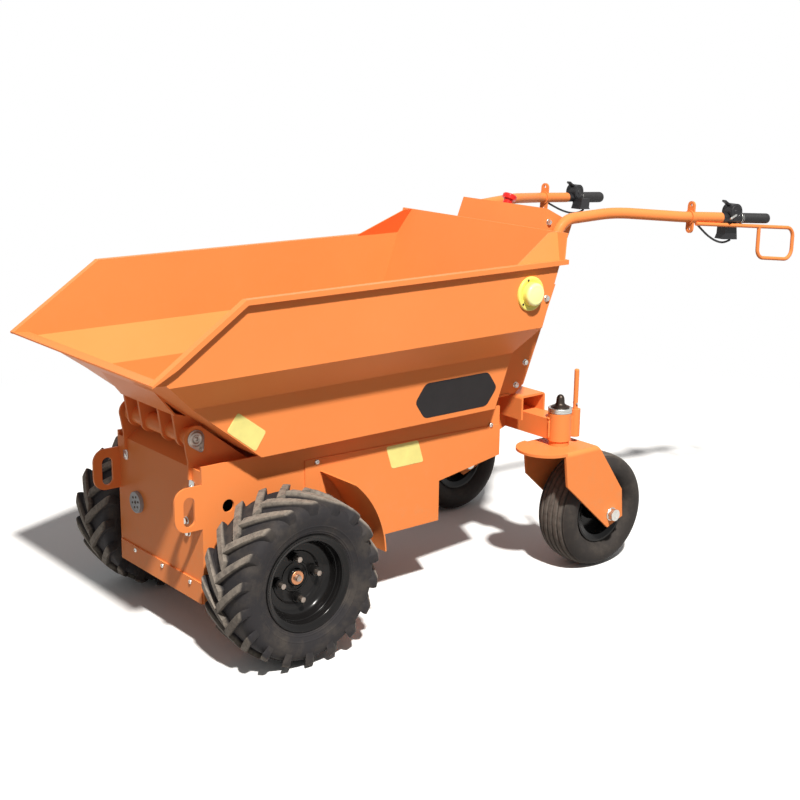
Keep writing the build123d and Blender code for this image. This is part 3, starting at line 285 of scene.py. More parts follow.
def makeWorld():
    # low white light on the object, and full white where the camera, a reflection or glass sees the background
    look = {"light": 0.24, "background": 1.0}
    world = bpy.data.worlds.new("studio")
    bpy.context.scene.world = world
    world.use_nodes = True
    graph = Graph(world.node_tree)
    camera, glossy, glass = (graph.add("ShaderNodeLightPath", out=ray)
                             for ray in ("Is Camera Ray", "Is Glossy Ray", "Is Transmission Ray"))
    sockets = {"Value": camera | glossy | glass, "To Min": look["light"], "To Max": look["background"]}
    background = world.node_tree.nodes["Background"]
    graph.feed(background.inputs["Color"], (1, 1, 1, 1))
    graph.feed(background.inputs["Strength"], graph.add("ShaderNodeMapRange", sockets=sockets))


def makeCamera():
    # the photograph's place, read from the wheels and the skip's edges, in metres and degrees
    look = {"place": (1.720, 2.7959, 1.4045), "yaw": -129.29, "pitch": -14.57, "roll": 0.73, "lens": 63.06,
            "sensor": 36.0}
    yaw, pitch, roll = np.radians([look["yaw"], look["pitch"], look["roll"]])
    ahead = np.array([np.cos(yaw) * np.cos(pitch), np.sin(yaw) * np.cos(pitch), np.sin(pitch)])
    level = np.cross(ahead, [0, 0, 1])
    level /= np.linalg.norm(level)
    upright = np.cross(level, ahead)
    right = np.cos(roll) * level + np.sin(roll) * upright
    up = -np.sin(roll) * level + np.cos(roll) * upright
    data = bpy.data.cameras.new("camera")
    data.lens = look["lens"]
    data.sensor_width = look["sensor"]
    data.clip_end = 200.0
    camera = bpy.data.objects.new("camera", data)
    matrix = Matrix(np.column_stack([right, up, -ahead]).tolist()).to_4x4()
    matrix.translation = Vector(look["place"]) + Vector((axleX, 0, 0))
    camera.matrix_world = matrix
    bpy.context.scene.collection.objects.link(camera)
    bpy.context.scene.camera = camera


makeFloor()
makeWorld()
makeKeyLamp()
makeCamera()
bpy.context.scene.view_settings.view_transform = "Standard"
print("stage, light and camera set")


# Leads from the handle tubes to the controls

def makeLeads():
    # one smooth spline with the route's points as its control points, millimetres from the axle; left and right
    # differ in their heights
    look = {"x": (-1390.1, -1415, -1445, -1485, -1526, -1545.3), "y": (289.85, 290, 289, 288, 286, 289.06),
            "left": {"z": (907.6, 889, 869, 850, 842, 850), "length": 0.171},
            "right": {"z": (907.6, 896, 883, 871, 870, 878), "length": 0.161}, "diameter": 0.006}
    for side, sign in sides:
        route = np.array([look["x"], np.multiply(look["y"], sign), look[side]["z"]]).T / 1000 + [axleX, 0, 0]
        data = bpy.data.curves.new("leadCord_" + side, "CURVE")
        data.dimensions = "3D"
        data.resolution_u = 24
        data.bevel_depth = look["diameter"] / 2
        data.bevel_resolution = 5
        data.use_fill_caps = True
        spline = data.splines.new("NURBS")
        spline.points.add(len(route) - 1)
        spline.points.foreach_set("co", np.column_stack([route, np.ones(len(route))]).ravel())
        spline.order_u = 3
        spline.use_endpoint_u = True
        data.materials.append(finishes["grip_rubber"])
        lead = bpy.data.objects.new("leadCord_" + side, data)
        bpy.context.scene.collection.objects.link(lead)
        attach(lead, "chassis")
        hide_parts("lead_" + side)


makeLeads()
print("leads made")


# Surfaces on grids, in millimetres from the drive axle and the ground

outward, forward, upward = (0, 1, 0), (1, 0, 0), (0, 0, 1)
driveHub = (0, 310, 203)   # the middle of the left drive wheel
casterHub = (-1007, 293, 157)   # the middle of the left caster wheel
swivelPin = (-875, 293, 0)   # where the left kingpin stands on the ground plan


def cells(rows, columns, wrapRows, wrapColumns):
    # corner numbers of every cell of a grid; a wrapped side joins its last line to its first
    row = np.arange(rows if wrapRows else rows - 1)[:, None]
    column = np.arange(columns if wrapColumns else columns - 1)[None, :]
    nextRow, nextColumn = (row + 1) % rows, (column + 1) % columns
    corners = [row * columns + column, nextRow * columns + column,
               nextRow * columns + nextColumn, row * columns + nextColumn]
    return np.stack(corners, axis=-1).reshape(-1, 4)


def makePiece(name, grids, body, slotName, finish=None, replaced=(), sharp=38):
    # grids are (points, wrapRows, wrapColumns); doubles are merged so that seams and poles close
    starts = np.cumsum([0] + [grid[0].shape[0] * grid[0].shape[1] for grid in grids])
    points = np.concatenate([grid[0].reshape(-1, 3) for grid in grids]) / 1000 + [axleX, 0, 0]
    faces = np.concatenate([cells(*grid[0].shape[:2], grid[1], grid[2]) + start
                            for grid, start in zip(grids, starts)])
    mesh = bpy.data.meshes.new(name)
    mesh.from_pydata(points.tolist(), [], faces.tolist())
    shape = bmesh.new()
    shape.from_mesh(mesh)
    bmesh.ops.remove_doubles(shape, verts=shape.verts, dist=1e-6)
    bmesh.ops.recalc_face_normals(shape, faces=shape.faces)
    shape.to_mesh(mesh)
    shape.free()
    mesh.shade_smooth()
    mesh.set_sharp_from_angle(angle=np.radians(sharp))
    mesh.materials.append(finish or finishes[slotName])
    piece = bpy.data.objects.new(name, mesh)
    bpy.context.scene.collection.objects.link(piece)
    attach(piece, body)
    if replaced:
        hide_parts(*replaced)


def mirrored(grids, sign):
    # the same grids on the left (1) or the right (-1)
    return [(points * [1, sign, 1], wrapRows, wrapColumns) for points, wrapRows, wrapColumns in grids]


def smoothLine(points, count):
    # Catmull-Rom curve: each span is the cubic whose end slopes are half the step between its neighbours
    points = np.asarray(points, float)
    padded = np.vstack([2 * points[0] - points[1], points, 2 * points[-1] - points[-2]])
    along = np.linspace(0, len(points) - 1, count)
    span = np.minimum(along.astype(int), len(points) - 2)
    t = (along - span)[:, None]
    a, b, c, d = (padded[span + step] for step in range(4))
    return b + 0.5 * t * (c - a + t * (2 * a - 5 * b + 4 * c - d + t * (3 * (b - c) + d - a)))


def across(axis):
    # the axis as a unit vector, and two directions square to it
    axis = np.asarray(axis, float) / np.linalg.norm(axis)
    first = np.cross(axis, [0, 0, 1] if abs(axis[2]) < 0.9 else [1, 0, 0])
    first /= np.linalg.norm(first)
    return axis, first, np.cross(axis, first)


def rings(center, axis, along, radius):
    # center + along * axis + radius * (cosine * first + sine * second); radius has a row for each ring
    axis, first, second = across(axis)
    radius = np.asarray(radius, float)
    angle = np.linspace(0, 2 * np.pi, radius.shape[1], endpoint=False)
    turn = np.cos(angle)[:, None] * first + np.sin(angle)[:, None] * second
    return np.asarray(center, float) + np.asarray(along, float)[:, None, None] * axis + radius[:, :, None] * turn


def turned(profile, center, axis, steps=64, closed=False):
    # a profile of (along, radius) turned about the axis
    profile = np.asarray(profile, float)
    return rings(center, axis, profile[:, 0], np.repeat(profile[:, 1:2], steps, axis=1)), closed, True


def bothHalves(half):
    # half a profile that ends in the middle, and its mirror image from there on
    return np.vstack([half, half[-2::-1] * [-1, 1]])


def hexagon(flats, steps, turn=0.0):
    # radius of a hexagon by angle: half the flats over the cosine of the angle from the nearest flat's middle
    angle = np.linspace(0, 2 * np.pi, steps, endpoint=False) + turn
    return flats / 2 / np.cos(angle % (np.pi / 3) - np.pi / 6)


def boltHead(center, axis, flats, high, turn=0.0, washer=1.3, steps=36):
    # washer, then a hexagon whose top chamfer is the smaller of hexagon and circle
    six = hexagon(flats, steps, turn)
    disc = np.full(steps, flats / 2)
    radius = np.stack([disc * washer, disc * washer, disc * (washer - 0.06), six, six, np.minimum(six, disc * 1.04),
                       disc * 0.55, disc * 0.5, disc * 0])
    along = np.array([-1.0 / high, 0.13, 0.2, 0.2, 0.84, 1.0, 1.0, 0.96, 0.96]) * high
    return rings(center, axis, along, radius), False, True


def screwHead(center, axis, wide, high, steps=36):
    # button head: a low dome with a hexagon sunk into its top
    disc = np.full(steps, wide / 2)
    key = hexagon(wide * 0.42, steps)
    radius = np.stack([disc, disc, disc * 0.93, disc * 0.78, disc * 0.6, key, key * 0.95, disc * 0])
    along = np.array([-1.0, 0.25 * high, 0.62 * high, 0.88 * high, high, high, 0.35 * high, 0.35 * high])
    return rings(center, axis, along, radius), False, True


def roundedOutline(corners, reach, steps=7):
    # each corner becomes the parabola that starts and ends at reach from it along its two sides
    corners = np.asarray(corners, float)
    before, after = np.roll(corners, 1, axis=0) - corners, np.roll(corners, -1, axis=0) - corners
    before *= reach / np.linalg.norm(before, axis=1, keepdims=True)
    after *= reach / np.linalg.norm(after, axis=1, keepdims=True)
    t = np.linspace(0, 1, steps)[None, :, None]
    line = corners[:, None] + (1 - t) ** 2 * before[:, None] + t ** 2 * after[:, None]
    return line.reshape(-1, 3)


def plate(outline, normal, thick, edge=0.8):
    # a flat plate: the outline, the outline raised, the outline drawn in by the edge, and the middle
    outline = np.asarray(outline, float)
    normal = np.asarray(normal, float) / np.linalg.norm(normal)
    middle = outline.mean(axis=0)
    out = outline - middle
    drawn = middle + out * (1 - edge / np.linalg.norm(out, axis=1, keepdims=True))
    rows = [np.repeat(middle[None], len(outline), axis=0) - 0.3 * normal, outline - 0.3 * normal,
            outline + normal * (thick - edge * 0.5), drawn + normal * thick,
            np.repeat(middle[None], len(outline), axis=0) + normal * thick]
    return np.stack(rows), False, True


def weldBead(path, radius, pitch=5.0, steps=12):
    # a tube along a path; its radius swells once each pitch and shrinks to nothing at both ends
    path = np.asarray(path, float)
    length = np.linalg.norm(np.diff(path, axis=0), axis=1).sum()
    path = smoothLine(path, int(length / pitch * 5) + 2)
    along = np.gradient(path, axis=0)
    along /= np.linalg.norm(along, axis=1, keepdims=True)
    first = np.cross(along, (0.3, 0.5, 0.81))
    first /= np.linalg.norm(first, axis=1, keepdims=True)
    second = np.cross(along, first)
    t = np.linspace(0, 1, len(path))
    swell = radius * (0.86 + 0.2 * np.abs(np.sin(np.pi * t * length / pitch)))
    swell = (swell * np.sqrt(np.clip(np.minimum(t, 1 - t) * length / radius, 0, 1)))[:, None, None]
    angle = np.linspace(0, 2 * np.pi, steps, endpoint=False)[:, None]
    return path[:, None] + swell * (np.cos(angle) * first[:, None] + np.sin(angle) * second[:, None]), False, True


# Drive wheels

def driveTyre():
    # carcass: a profile of (out from the middle, radius) turned about the axle
    # lugs: foot line + height share * (top line - foot line), carried round the axle by the slant
    look = {"lugs": 18, "slant": 42.0, "pitchRadius": 195.0, "overlap": 7.0, "ridges": (119.5, 124, 137),
            "ridgeWide": 1.1, "ridgeHigh": 1.1, "steps": 144}
    outer = smoothLine([(63.7, 113), (66, 117), (70.5, 126), (75, 138), (77.5, 150), (78, 160), (75.5, 171),
                        (69, 180), (58, 185.3), (40, 186.5), (20, 187), (0, 187)], 120)
    # ring ridges on the sidewall, each a bell curve over the radius
    ridges = np.exp(-((outer[:, 1:] - np.array(look["ridges"])) / look["ridgeWide"]) ** 2).sum(axis=1)
    outer[:, 0] += look["ridgeHigh"] * ridges
    half = np.vstack([[(63.7, 100.3), (63.7, 107)], outer])
    carcass = turned(bothHalves(half), driveHub, outward, look["steps"], True)
    top = smoothLine([(-7, 203), (10, 202.2), (30, 200.4), (50, 198.5), (66, 197.1), (74, 196), (78, 192.5),
                      (79.6, 186), (79.6, 178), (78.2, 168), (76.5, 160)], 30)
    foot = smoothLine([(-7, 184), (10, 184), (30, 184), (48, 183), (60, 181), (66, 177), (70, 173), (73, 168),
                       (74, 164), (74, 160), (74, 157)], 30)
    top = np.vstack([foot[:1], top, foot[-1:]])
    foot = np.vstack([foot[:1], foot, foot[-1:]])
    step = np.array([-10.2, -8.8, -8.2, -7.3, 0, 7.3, 8.2, 8.8, 10.2])
    share = np.array([-0.15, 0.35, 0.9, 0.99, 1, 0.99, 0.9, 0.35, -0.15])
    line = foot[:, None] + share[None, :, None] * (top - foot)[:, None]
    slant = np.radians(look["slant"])
    lean = (step[None] / np.cos(slant) - (line[..., 0] + look["overlap"]) * np.tan(slant)) / look["pitchRadius"]
    grids = [carcass]
    for row, phase in ((1, 0.0), (-1, 0.5)):
        for start in (np.arange(look["lugs"]) + phase) * 2 * np.pi / look["lugs"]:
            angle = lean + start
            lug = np.stack([line[..., 1] * np.sin(angle), row * line[..., 0], line[..., 1] * np.cos(angle)], axis=-1)
            grids.append((lug + driveHub, False, False))
    return grids


def driveRim():
    # closed profile of (out from the wheel's middle, radius): cap, hub ring, dished steps, rolled flanges, barrel
    front = [(21, 0), (21, 17.4), (20.2, 19.6), (18.4, 20.9), (12.6, 21.2), (12, 22.4), (12, 31), (13.6, 32),
             (14, 34), (13.6, 36), (12, 37), (12, 59), (12.8, 61.5), (15.4, 63.5), (16.6, 65.5), (16.8, 76),
             (17.6, 80), (20, 84.5), (24.5, 88.6), (30, 91.6), (37, 93.4), (43, 94), (44, 95), (53, 95.2),
             (54.6, 96.4), (56.5, 97.2), (60.4, 97.6), (62.4, 98.8), (64, 101.5), (65.2, 106), (66.8, 109),
             (68.4, 110.8), (69, 112.4), (68.8, 114.2), (67.6, 115), (65.2, 115), (64, 114.2), (64, 100.2)]
    back = [(-64, 100.2), (-64, 114.2), (-65.2, 115), (-67.8, 115), (-69, 113.6), (-68.6, 110.8), (-64, 95.6),
            (2, 95), (7, 51), (7, 31), (-50, 31), (-50, 15.6), (16.6, 15.6), (16.6, 0)]
    return [turned(front + back, driveHub, outward, 112, True)]


def wheelNuts():
    # four nuts round the hub on the dished face of the rim, and the long bright studs that come through them
    look = {"face": (0, 322, 203), "circle": 50.0, "angles": (95, 5, -85, 185), "flats": 21.0, "high": 15.0}
    stud = [(8, 0), (8, 7), (26, 7), (27.6, 6.4), (28.4, 5), (28.4, 0)]
    angle = np.radians(look["angles"])
    places = np.array(look["face"]) + look["circle"] * np.column_stack([-np.cos(angle), 0 * angle, np.sin(angle)])
    nuts = [boltHead(place, outward, look["flats"], look["high"], turn, 1.35) for place, turn in zip(places, angle)]
    return nuts, [turned(stud, place, outward, 32) for place in places]


def shaftEnd():
    # the axle's turned end in the hub, and the bolt in its middle
    look = {"end": (0, 331, 203), "bolt": (0, 333.5, 203), "flats": 13, "high": 7}
    profile = [(-1, 0), (-1, 17), (1.6, 17), (2.6, 16), (3, 15), (2.6, 13.6), (2.6, 0)]
    bolt = boltHead(look["bolt"], outward, look["flats"], look["high"], 0.4)
    return [turned(profile, look["end"], outward)], [bolt]


tyreGrids, rimGrids = driveTyre(), driveRim()
nutGrids, studGrids = wheelNuts()
shaftGrids, shaftBolts = shaftEnd()
for side, sign in sides:
    body = "drive_wheel_" + side
    makePiece("luggedTyre_" + side, mirrored(tyreGrids, sign), body, "tyre_rubber", replaced=["drive_tyre_" + side],
              sharp=50)
    makePiece("steppedRim_" + side, mirrored(rimGrids, sign), body, "black_paint", replaced=["drive_rim_" + side])
    makePiece("wheelNuts_" + side, mirrored(nutGrids, sign), body, "black_paint")
    makePiece("wheelStuds_" + side, mirrored(studGrids, sign), body, "zinc", dullZinc)
    makePiece("shaftEnd_" + side, mirrored(shaftGrids, sign), body, "bare_steel", copperSteel)
    makePiece("shaftBolt_" + side, mirrored(shaftBolts, sign), body, "zinc", dullZinc)
print("drive wheels made")


# Casters

def casterTyre():
    # turned profile whose radius drops by the depth in each groove, a flat bell curve: exp(-(offset / wide) ^ 4)
    look = {"grooves": (9, 26, 41), "depth": 5.0, "wide": 2.3, "treadFrom": 130, "steps": 128}
    outer = smoothLine([(36.7, 90), (48, 97), (57, 108), (60.6, 120), (59.5, 131), (54, 142), (44, 150.5), (30, 155),
                        (15, 156.7), (0, 157)], 110)
    offset = np.abs(outer[:, :1] - np.array(look["grooves"])) / look["wide"]
    outer[:, 1] -= np.where(outer[:, 1] > look["treadFrom"], look["depth"] * np.exp(-offset ** 4).sum(axis=1), 0)
    half = np.vstack([[(36.7, 75.3), (36.7, 83)], outer])
    return [turned(bothHalves(half), casterHub, outward, look["steps"], True)]


def kingpin():
    # profiles of (height, radius) turned upright: pin with a grooved bearing collar, and its domed grease cap
    pin = [(371.7, 0), (371.7, 15), (446.8, 15), (447.3, 30.6), (448.2, 32), (452, 32), (452.8, 30.9), (455, 30.9),
           (455.8, 32), (459, 32), (460.3, 30.8), (460.3, 24), (460.3, 0)]
    cap = [(459.5, 0), (459.5, 25), (461.8, 25), (463.4, 23.4), (466.4, 17), (469, 13.4), (472, 11.6),
           (480, 11), (486, 10.4), (490.5, 8.6), (493.6, 5.4), (494.9, 2.4), (495.3, 0)]
    return [turned(pin, swivelPin, upward)], [turned(cap, swivelPin, upward, 40)]


def casterFasteners():
    # a nut outside each fork blade on the caster's axle, and the cross pin in the lock pin
    look = {"blade": 80, "flats": 31, "high": 16.8, "lock": (-933, 293, 462), "lockAxis": (0.3, 1, 0)}
    nuts = [boltHead((casterHub[0], casterHub[1] + out * look["blade"], casterHub[2]), (0, out, 0), look["flats"],
                     look["high"], 0.3, 1.2) for out in (1, -1)]
    pin = [(-11, 0), (-11, 2.2), (-10, 3), (10, 3), (11, 2.2), (11, 0)]
    return nuts, [turned(pin, look["lock"], look["lockAxis"], 20)]


casterGrids = casterTyre()
pinGrids, capGrids = kingpin()
axleNuts, crossPins = casterFasteners()
for side, sign in sides:
    makePiece("casterTread_" + side, mirrored(casterGrids, sign), "caster_wheel_" + side, "tyre_rubber", casterRubber,
              ["caster_tyre_" + side])
    makePiece("kingpinCollar_" + side, mirrored(pinGrids, sign), "caster_" + side, "zinc",
              replaced=["kingpin_" + side])
    makePiece("kingpinCap_" + side, mirrored(capGrids, sign), "caster_" + side, "bare_steel", darkSteel)
    makePiece("casterNuts_" + side, mirrored(axleNuts, sign), "caster_" + side, "zinc")
    makePiece("lockCrossPin_" + side, mirrored(crossPins, sign), "chassis", "zinc")
print("casters made")


# Grips and controls

gripAlong = np.array([-0.98864, 0.13509, -0.06755])   # the way back along the left grip
gripEnd = np.array([-1662.0, 327.0, 907.0])


def grip(radius):
    # turned profile over the distance back from the end: a flange, ring ribs cut by a sine, a rounded end
    look = {"rib": 5.6, "cut": 0.9, "ribsFrom": 103, "ribsTo": 14}
    back = np.linspace(look["ribsFrom"], look["ribsTo"], 150)
    ribs = np.column_stack([back, radius - look["cut"] * np.abs(np.sin(np.pi * back / look["rib"])) ** 3])
    flange = np.array([(111.6, -2.9), (111.6, 1.9), (110.8, 2.7), (108.6, 2.7), (107.4, 1.7), (105.6, 0.1)])
    tip = np.array([(11, 1), (6, 0.99), (3, 0.94), (1.2, 0.82), (0.2, 0.6), (0, 0.35), (0, 0)])
    profile = np.vstack([flange + [0, radius], ribs, tip * [1, radius]])
    return [turned(profile * [-1, 1], gripEnd, gripAlong, 48)]


def controlTrim():
    # turned profiles of (along, radius): a dial on both cheeks of the pod, a thumb lever, a ring ahead of the grip
    look = {"podBack": 142.3, "podUp": 18, "leverOut": 17, "leverDown": 8}
    up = np.array([0, 0, 1]) - gripAlong * gripAlong[2]
    cheek = np.cross(gripAlong, up / np.linalg.norm(up))
    pod = gripEnd - gripAlong * look["podBack"] + look["podUp"] * up / np.linalg.norm(up)
    dial = [(16.4, 20), (17.6, 20), (18.4, 19), (18.4, 15.5), (17.4, 14.5), (17.4, 7), (18.6, 6), (18.6, 0)]
    lever = [(0, 0), (0, 3.6), (2, 4.4), (20, 3.4), (27, 3.6), (30, 2.4), (30.6, 0)]
    leverFoot = pod + look["leverOut"] * cheek - look["leverDown"] * up
    leverAxis = -0.9 * gripAlong - 0.35 * up + 0.25 * cheek
    ring = [(-113, 13), (-113, 15.6), (-112.4, 16), (-106, 16), (-105.2, 15.4), (-105.2, 13)]
    trim = [turned(lever, leverFoot, leverAxis, 24), turned(ring, gripEnd, gripAlong, 48, True)]
    return [turned(dial, pod, cheek * out, 40) for out in (1, -1)], trim


gripRadius = {"left": 14.5, "right": 16.8}   # the right one is a twist grip
dialGrids, leverGrids = controlTrim()
for side, sign in sides:
    makePiece("ribbedGrip_" + side, mirrored(grip(gripRadius[side]), sign), "chassis", "grip_rubber",
              replaced=["grip_" + side])
    makePiece("controlDials_" + side, mirrored(dialGrids, sign), "chassis", "black_plastic")
    makePiece("thumbLever_" + side, mirrored(leverGrids, sign), "chassis", "zinc")
print("grips and controls made")


# Lamps on the skip

def lamp():
    # base disc with a rolled edge, three screws in it, and the lens with fine ring steps
    look = {"place": (-714, 0, 786), "screws": (70, 205, 320), "screwCircle": 37.0, "face": 334.0}
    base = [(328, 0), (328, 43.4), (331.6, 43.4), (333.2, 42.8), (334, 41.6), (334.2, 39.5), (334, 33.4),
            (333.4, 32.4), (333.4, 0)]
    drum = smoothLine([(333, 30.4), (341, 30), (346.5, 29.2), (350, 27.4), (352, 24.4), (352.8, 21)], 40)
    drum[:, 1] -= 0.3 * np.abs(np.sin(np.linspace(0, 9 * np.pi, 40)))
    lens = np.vstack([[(333, 0)], drum, [(352.4, 20), (352.6, 18.8), (353.6, 12), (354, 5), (354, 0)]])
    angle = np.radians(look["screws"])
    places = np.column_stack([look["place"][0] + look["screwCircle"] * np.cos(angle), np.full(3, look["face"]),
                              look["place"][2] + look["screwCircle"] * np.sin(angle)])
    screws = [screwHead(place, outward, 6.0, 1.6) for place in places]
    return [turned(base, look["place"], outward, 72)], [turned(lens, look["place"], outward, 72)], screws


baseGrids, lensGrids, lampScrews = lamp()
for side, sign in sides:
    makePiece("lampBase_" + side, mirrored(baseGrids, sign), "skip", "yellow_lens", replaced=["lamp_" + side])
    makePiece("lampLens_" + side, mirrored(lensGrids, sign), "skip", "yellow_lens", paleLens)
    makePiece("lampScrews_" + side, mirrored(lampScrews, sign), "skip", "bare_steel", darkSteel)
print("lamps made")


# Plates, brackets and fasteners

def dropOutline(big, bigRadius, small, smallRadius, y):
    # the outline round two circles and their outer tangents, in the plane of x and z
    big, small = np.array(big, float), np.array(small, float)
    step = small - big
    toward, swing = np.arctan2(step[1], step[0]), np.arccos((bigRadius - smallRadius) / np.linalg.norm(step))
    first = np.linspace(toward + swing, toward + 2 * np.pi - swing, 30)
    second = np.linspace(toward - swing, toward + swing, 16)
    line = np.vstack([big + bigRadius * np.column_stack([np.cos(first), np.sin(first)]),
                      small + smallRadius * np.column_stack([np.cos(second), np.sin(second)])])
    return np.column_stack([line[:, 0], np.full(len(line), y), line[:, 1]])


wallFoot, wallLean = (244.0, 475), 6 / 142   # the skip's lower wall: its foot's y and z, and its lean
coverFace = 199.0   # the side covers' y


def wallPoint(corners):
    # places of (x, z) on the skip's lower wall: y = the foot's y + lean * (z - the foot's z)
    corners = np.asarray(corners, float)
    return np.column_stack([corners[:, 0], wallFoot[0] + (corners[:, 1] - wallFoot[1]) * wallLean, corners[:, 1]])


def makePlates():
    # bare plates where the machine carries its signs, by their corners' (x, z)
    look = {"warn": [(100, 592), (23.5, 535), (51.5, 492), (129, 552)], "thick": 0.7,
            "cover": [(-361.9, 418.7), (-465.1, 418.7), (-484, 358.8), (-380.8, 358.8)],
            "badge": [(-687, 533), (-654, 578), (-446, 578), (-414, 533), (-446, 488), (-654, 488)]}
    wallNormal = (0, 1, -wallLean)
    cover = np.array(look["cover"])
    coverLine = np.column_stack([cover[:, 0], np.full(4, coverFace), cover[:, 1]])
    warn = [plate(roundedOutline(wallPoint(look["warn"]), 7), wallNormal, look["thick"])]
    badge = [plate(roundedOutline(wallPoint(look["badge"]), 12), wallNormal, look["thick"])]
    flat = [plate(roundedOutline(coverLine, 7), outward, look["thick"])]
    for side, sign in sides:
        makePiece("warnPlate_" + side, mirrored(warn, sign), "skip", "yellow_lens", yellowPlate, sharp=12)
        makePiece("badgePlate_" + side, mirrored(badge, sign), "skip", "black_plastic", darkPlate, sharp=12)
        makePiece("coverPlate_" + side, mirrored(flat, sign), "chassis", "yellow_lens", yellowPlate, sharp=12)


def hingePin():
    # profile of (out, radius) of one head, then its mirror image, turned about the hinge line
    look = {"place": (152, 0, 518), "steps": 56}
    head = np.array([(158, 0), (157.2, 4), (155.8, 5.4), (155.8, 8.4), (157.4, 10), (158, 12), (157.6, 15.4),
                     (156.2, 17.6), (154, 18.5), (153.2, 18.5), (153.2, 14)])
    return [turned(np.vstack([head, head[::-1] * [-1, 1]]), look["place"], outward, look["steps"])]


def hingeKeeper():
    # a drop-shaped plate behind the pin's head, and the bolt in its narrow end
    look = {"pin": (152, 518), "wide": 21.5, "end": (140, 492), "narrow": 7.5, "ear": 153.0, "thick": 2.4,
            "boltFoot": 155.2}
    drop = dropOutline(look["pin"], look["wide"], look["end"], look["narrow"], look["ear"])
    bolt = boltHead((look["end"][0], look["boltFoot"], look["end"][1]), outward, 8, 3.6, 0.2)
    return [plate(drop, outward, look["thick"]), bolt]


def frontBracket():
    # a small rounded plate on the front panel, with one screw
    look = {"corners": [(165, 144, 424), (165, 166, 424), (165, 166, 397), (165, 144, 397)], "reach": 9,
            "thick": 3.0, "screw": (168, 155, 408)}
    tab = plate(roundedOutline(look["corners"], look["reach"]), forward, look["thick"])
    return [tab, screwHead(look["screw"], forward, 9, 3)]


def chargingSocket():
    # a turned ring round the cap, and six contacts on a circle round a larger one
    look = {"center": (165, -103, 302), "face": (173.0, -103, 302), "circle": 14, "turn": 15}
    ring = [(6, 26.6), (8.6, 26.6), (9.6, 25.4), (9.6, 22.4), (8.6, 21.4), (8.2, 19.6), (8.2, 0)]
    angle = np.radians(np.arange(6) * 60 + look["turn"])
    places = np.array(look["face"]) + look["circle"] * np.column_stack([0 * angle, np.cos(angle), np.sin(angle)])
    contacts = [screwHead(place, forward, 6.5, 1.6, 24) for place in places]
    contacts.append(screwHead(look["face"], forward, 9, 1.8, 24))
    return [turned(ring, look["center"], forward, 56)], contacts


def makeFasteners():
    # zinc heads at places of (x, z) on the covers and the column, and at whole places elsewhere
    look = {"coverScrews": [(-151, 419), (-715, 416.5)], "columnBolts": [(-828, 503), (-860, 561), (-926, 727)],
            "columnFace": 170, "consoleBolt": (-933, 166, 931), "skipBolt": (-772, 328, 768),
            "footScrews": [(169, -117, 174), (169, 13.5, 174), (169, 142, 174)],
            "frontBolts": [((165, 126, 319), 0.2), ((165, 134, 292), 0.7)]}
    makePiece("hingePinHeads", hingePin(), "chassis", "zinc", dullZinc, ["hinge_pin"])
    keeper, bracket = hingeKeeper(), frontBracket()
    screws = [screwHead((x, coverFace, z), outward, 13, 4) for x, z in look["coverScrews"]]
    bolts = [boltHead((x, look["columnFace"], z), outward, 13, 6, 0.3 * z) for x, z in look["columnBolts"]]
    bolts.append(boltHead(look["consoleBolt"], outward, 13, 6, 0.5))
    skipBolt = [boltHead(look["skipBolt"], outward, 13, 6, 0.2)]
    for side, sign in sides:
        makePiece("hingeKeeper_" + side, mirrored(keeper, sign), "chassis", "zinc", dullZinc)
        makePiece("frontBracket_" + side, mirrored(bracket, sign), "chassis", "zinc")
        makePiece("coverScrews_" + side, mirrored(screws, sign), "chassis", "zinc")
        makePiece("columnBolts_" + side, mirrored(bolts, sign), "chassis", "zinc")
        makePiece("skipBolt_" + side, mirrored(skipBolt, sign), "skip", "zinc")
    front = [screwHead(place, forward, 11, 3.5) for place in look["footScrews"]]
    front += [boltHead(place, forward, 14, 7, turn) for place, turn in look["frontBolts"]]
    makePiece("frontScrews", front, "chassis", "zinc")
    ring, contacts = chargingSocket()
    makePiece("chargingRing", ring, "chassis", "grey_plastic")
    makePiece("chargingPins", contacts, "chassis", "bare_steel", darkSteel)


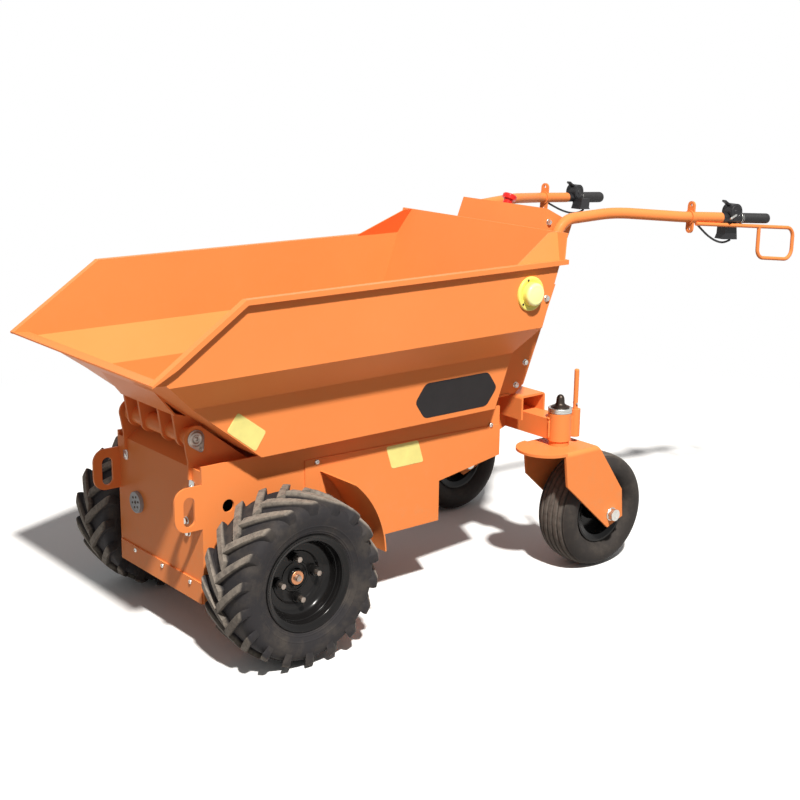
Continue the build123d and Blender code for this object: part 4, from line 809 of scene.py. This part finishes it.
def makeDashboard():
    # bare instrument plate, gauge and key switch on the console's sloping top; the distance runs back down the slope
    look = {"front": (-925.0, 968.0), "slope": (-0.905, -0.425), "plate": ((16, 8), (16, 142), (92, 142), (92, 8)),
            "gauge": (54, 104), "key": (54, 44)}
    normal = (look["slope"][1], 0, -look["slope"][0])

    def onTop(places):
        places = np.atleast_2d(places).astype(float)
        return np.column_stack([look["front"][0] + look["slope"][0] * places[:, 0], places[:, 1],
                                look["front"][1] + look["slope"][1] * places[:, 0]])

    corners = onTop(look["plate"])
    makePiece("dashPlate", [plate(roundedOutline(corners, 10), normal, 1.2)], "chassis", "black_plastic", darkPlate,
              sharp=12)
    screws = corners + (corners.mean(axis=0) - corners) * 0.13
    makePiece("dashScrews", [screwHead(place, normal, 6.5, 3.2, 24) for place in screws], "chassis", "zinc")
    bezel = [(-1, 0), (-1, 27), (4, 27), (5.6, 26), (6, 24.4), (5.2, 22.6), (3.4, 22), (3.4, 0)]
    makePiece("gaugeBezel", [turned(bezel, onTop(look["gauge"])[0], normal, 56)], "chassis", "black_plastic")
    face = [(3, 0), (3, 21.6), (4, 21.4), (4.7, 12), (5, 0)]
    makePiece("gaugeFace", [turned(face, onTop(look["gauge"])[0], normal, 56)], "chassis", "grey_plastic")
    barrel = [(-1, 0), (-1, 14), (2.6, 14), (3.6, 13), (3.8, 10.6), (7, 9.8), (7.6, 9), (7.2, 3), (6.4, 0)]
    makePiece("keySwitch", [turned(barrel, onTop(look["key"])[0], normal, 40)], "chassis", "zinc")


def makeRearPanel():
    # screwed cover on the column's leaning rear face: x = the top's x + lean * (the top's z - z)
    look = {"half": 122.0, "low": 532.0, "high": 724.0, "thick": 2.0, "edge": 1.2, "top": (-964.5, 762),
            "lean": 0.4257, "normal": (-0.9201, 0, -0.3917)}
    y = np.array([-1, 1, 1, -1]) * look["half"]
    z = np.array([look["low"], look["low"], look["high"], look["high"]])
    outline = np.column_stack([look["top"][0] + (look["top"][1] - z) * look["lean"], y, z])
    panel = plate(roundedOutline(outline, 16), look["normal"], look["thick"], look["edge"])
    makePiece("rearPanel", [panel], "chassis", "orange_paint", sharp=12)
    inner = outline + (outline.mean(axis=0) - outline) * 0.1
    places = np.vstack([inner, (inner + np.roll(inner, -1, axis=0))[1::2] / 2])
    places += np.array(look["normal"]) * look["thick"]
    makePiece("rearScrews", [screwHead(place, look["normal"], 12, 3.6) for place in places], "chassis", "zinc")


def makeWelds():
    # beads round the kingpin housing on the beam and down its sides, and along the column's foot
    look = {"radius": 31.6, "bead": 3.2, "arc": (-166, -14), "arcHeight": 430.6, "sideX": (-844.6, -905.4),
            "sideY": 284.5, "sideZ": (378, 427), "column": [(-752, 170.6, 480.8), (-806, 170.6, 480.8)]}
    angle = np.radians(np.linspace(*look["arc"], 24))
    arc = np.column_stack([swivelPin[0] + look["radius"] * np.cos(angle),
                           swivelPin[1] + look["radius"] * np.sin(angle), np.full(24, look["arcHeight"])])
    sideLines = [[(x, look["sideY"], z) for z in look["sideZ"]] for x in look["sideX"]]
    grids = [weldBead(path, look["bead"]) for path in (arc, *sideLines, look["column"])]
    for side, sign in sides:
        makePiece("weldBeads_" + side, mirrored(grids, sign), "chassis", "orange_paint")


makePlates()
makeFasteners()
makeWelds()
makeDashboard()
makeRearPanel()
print("plates and fasteners made")
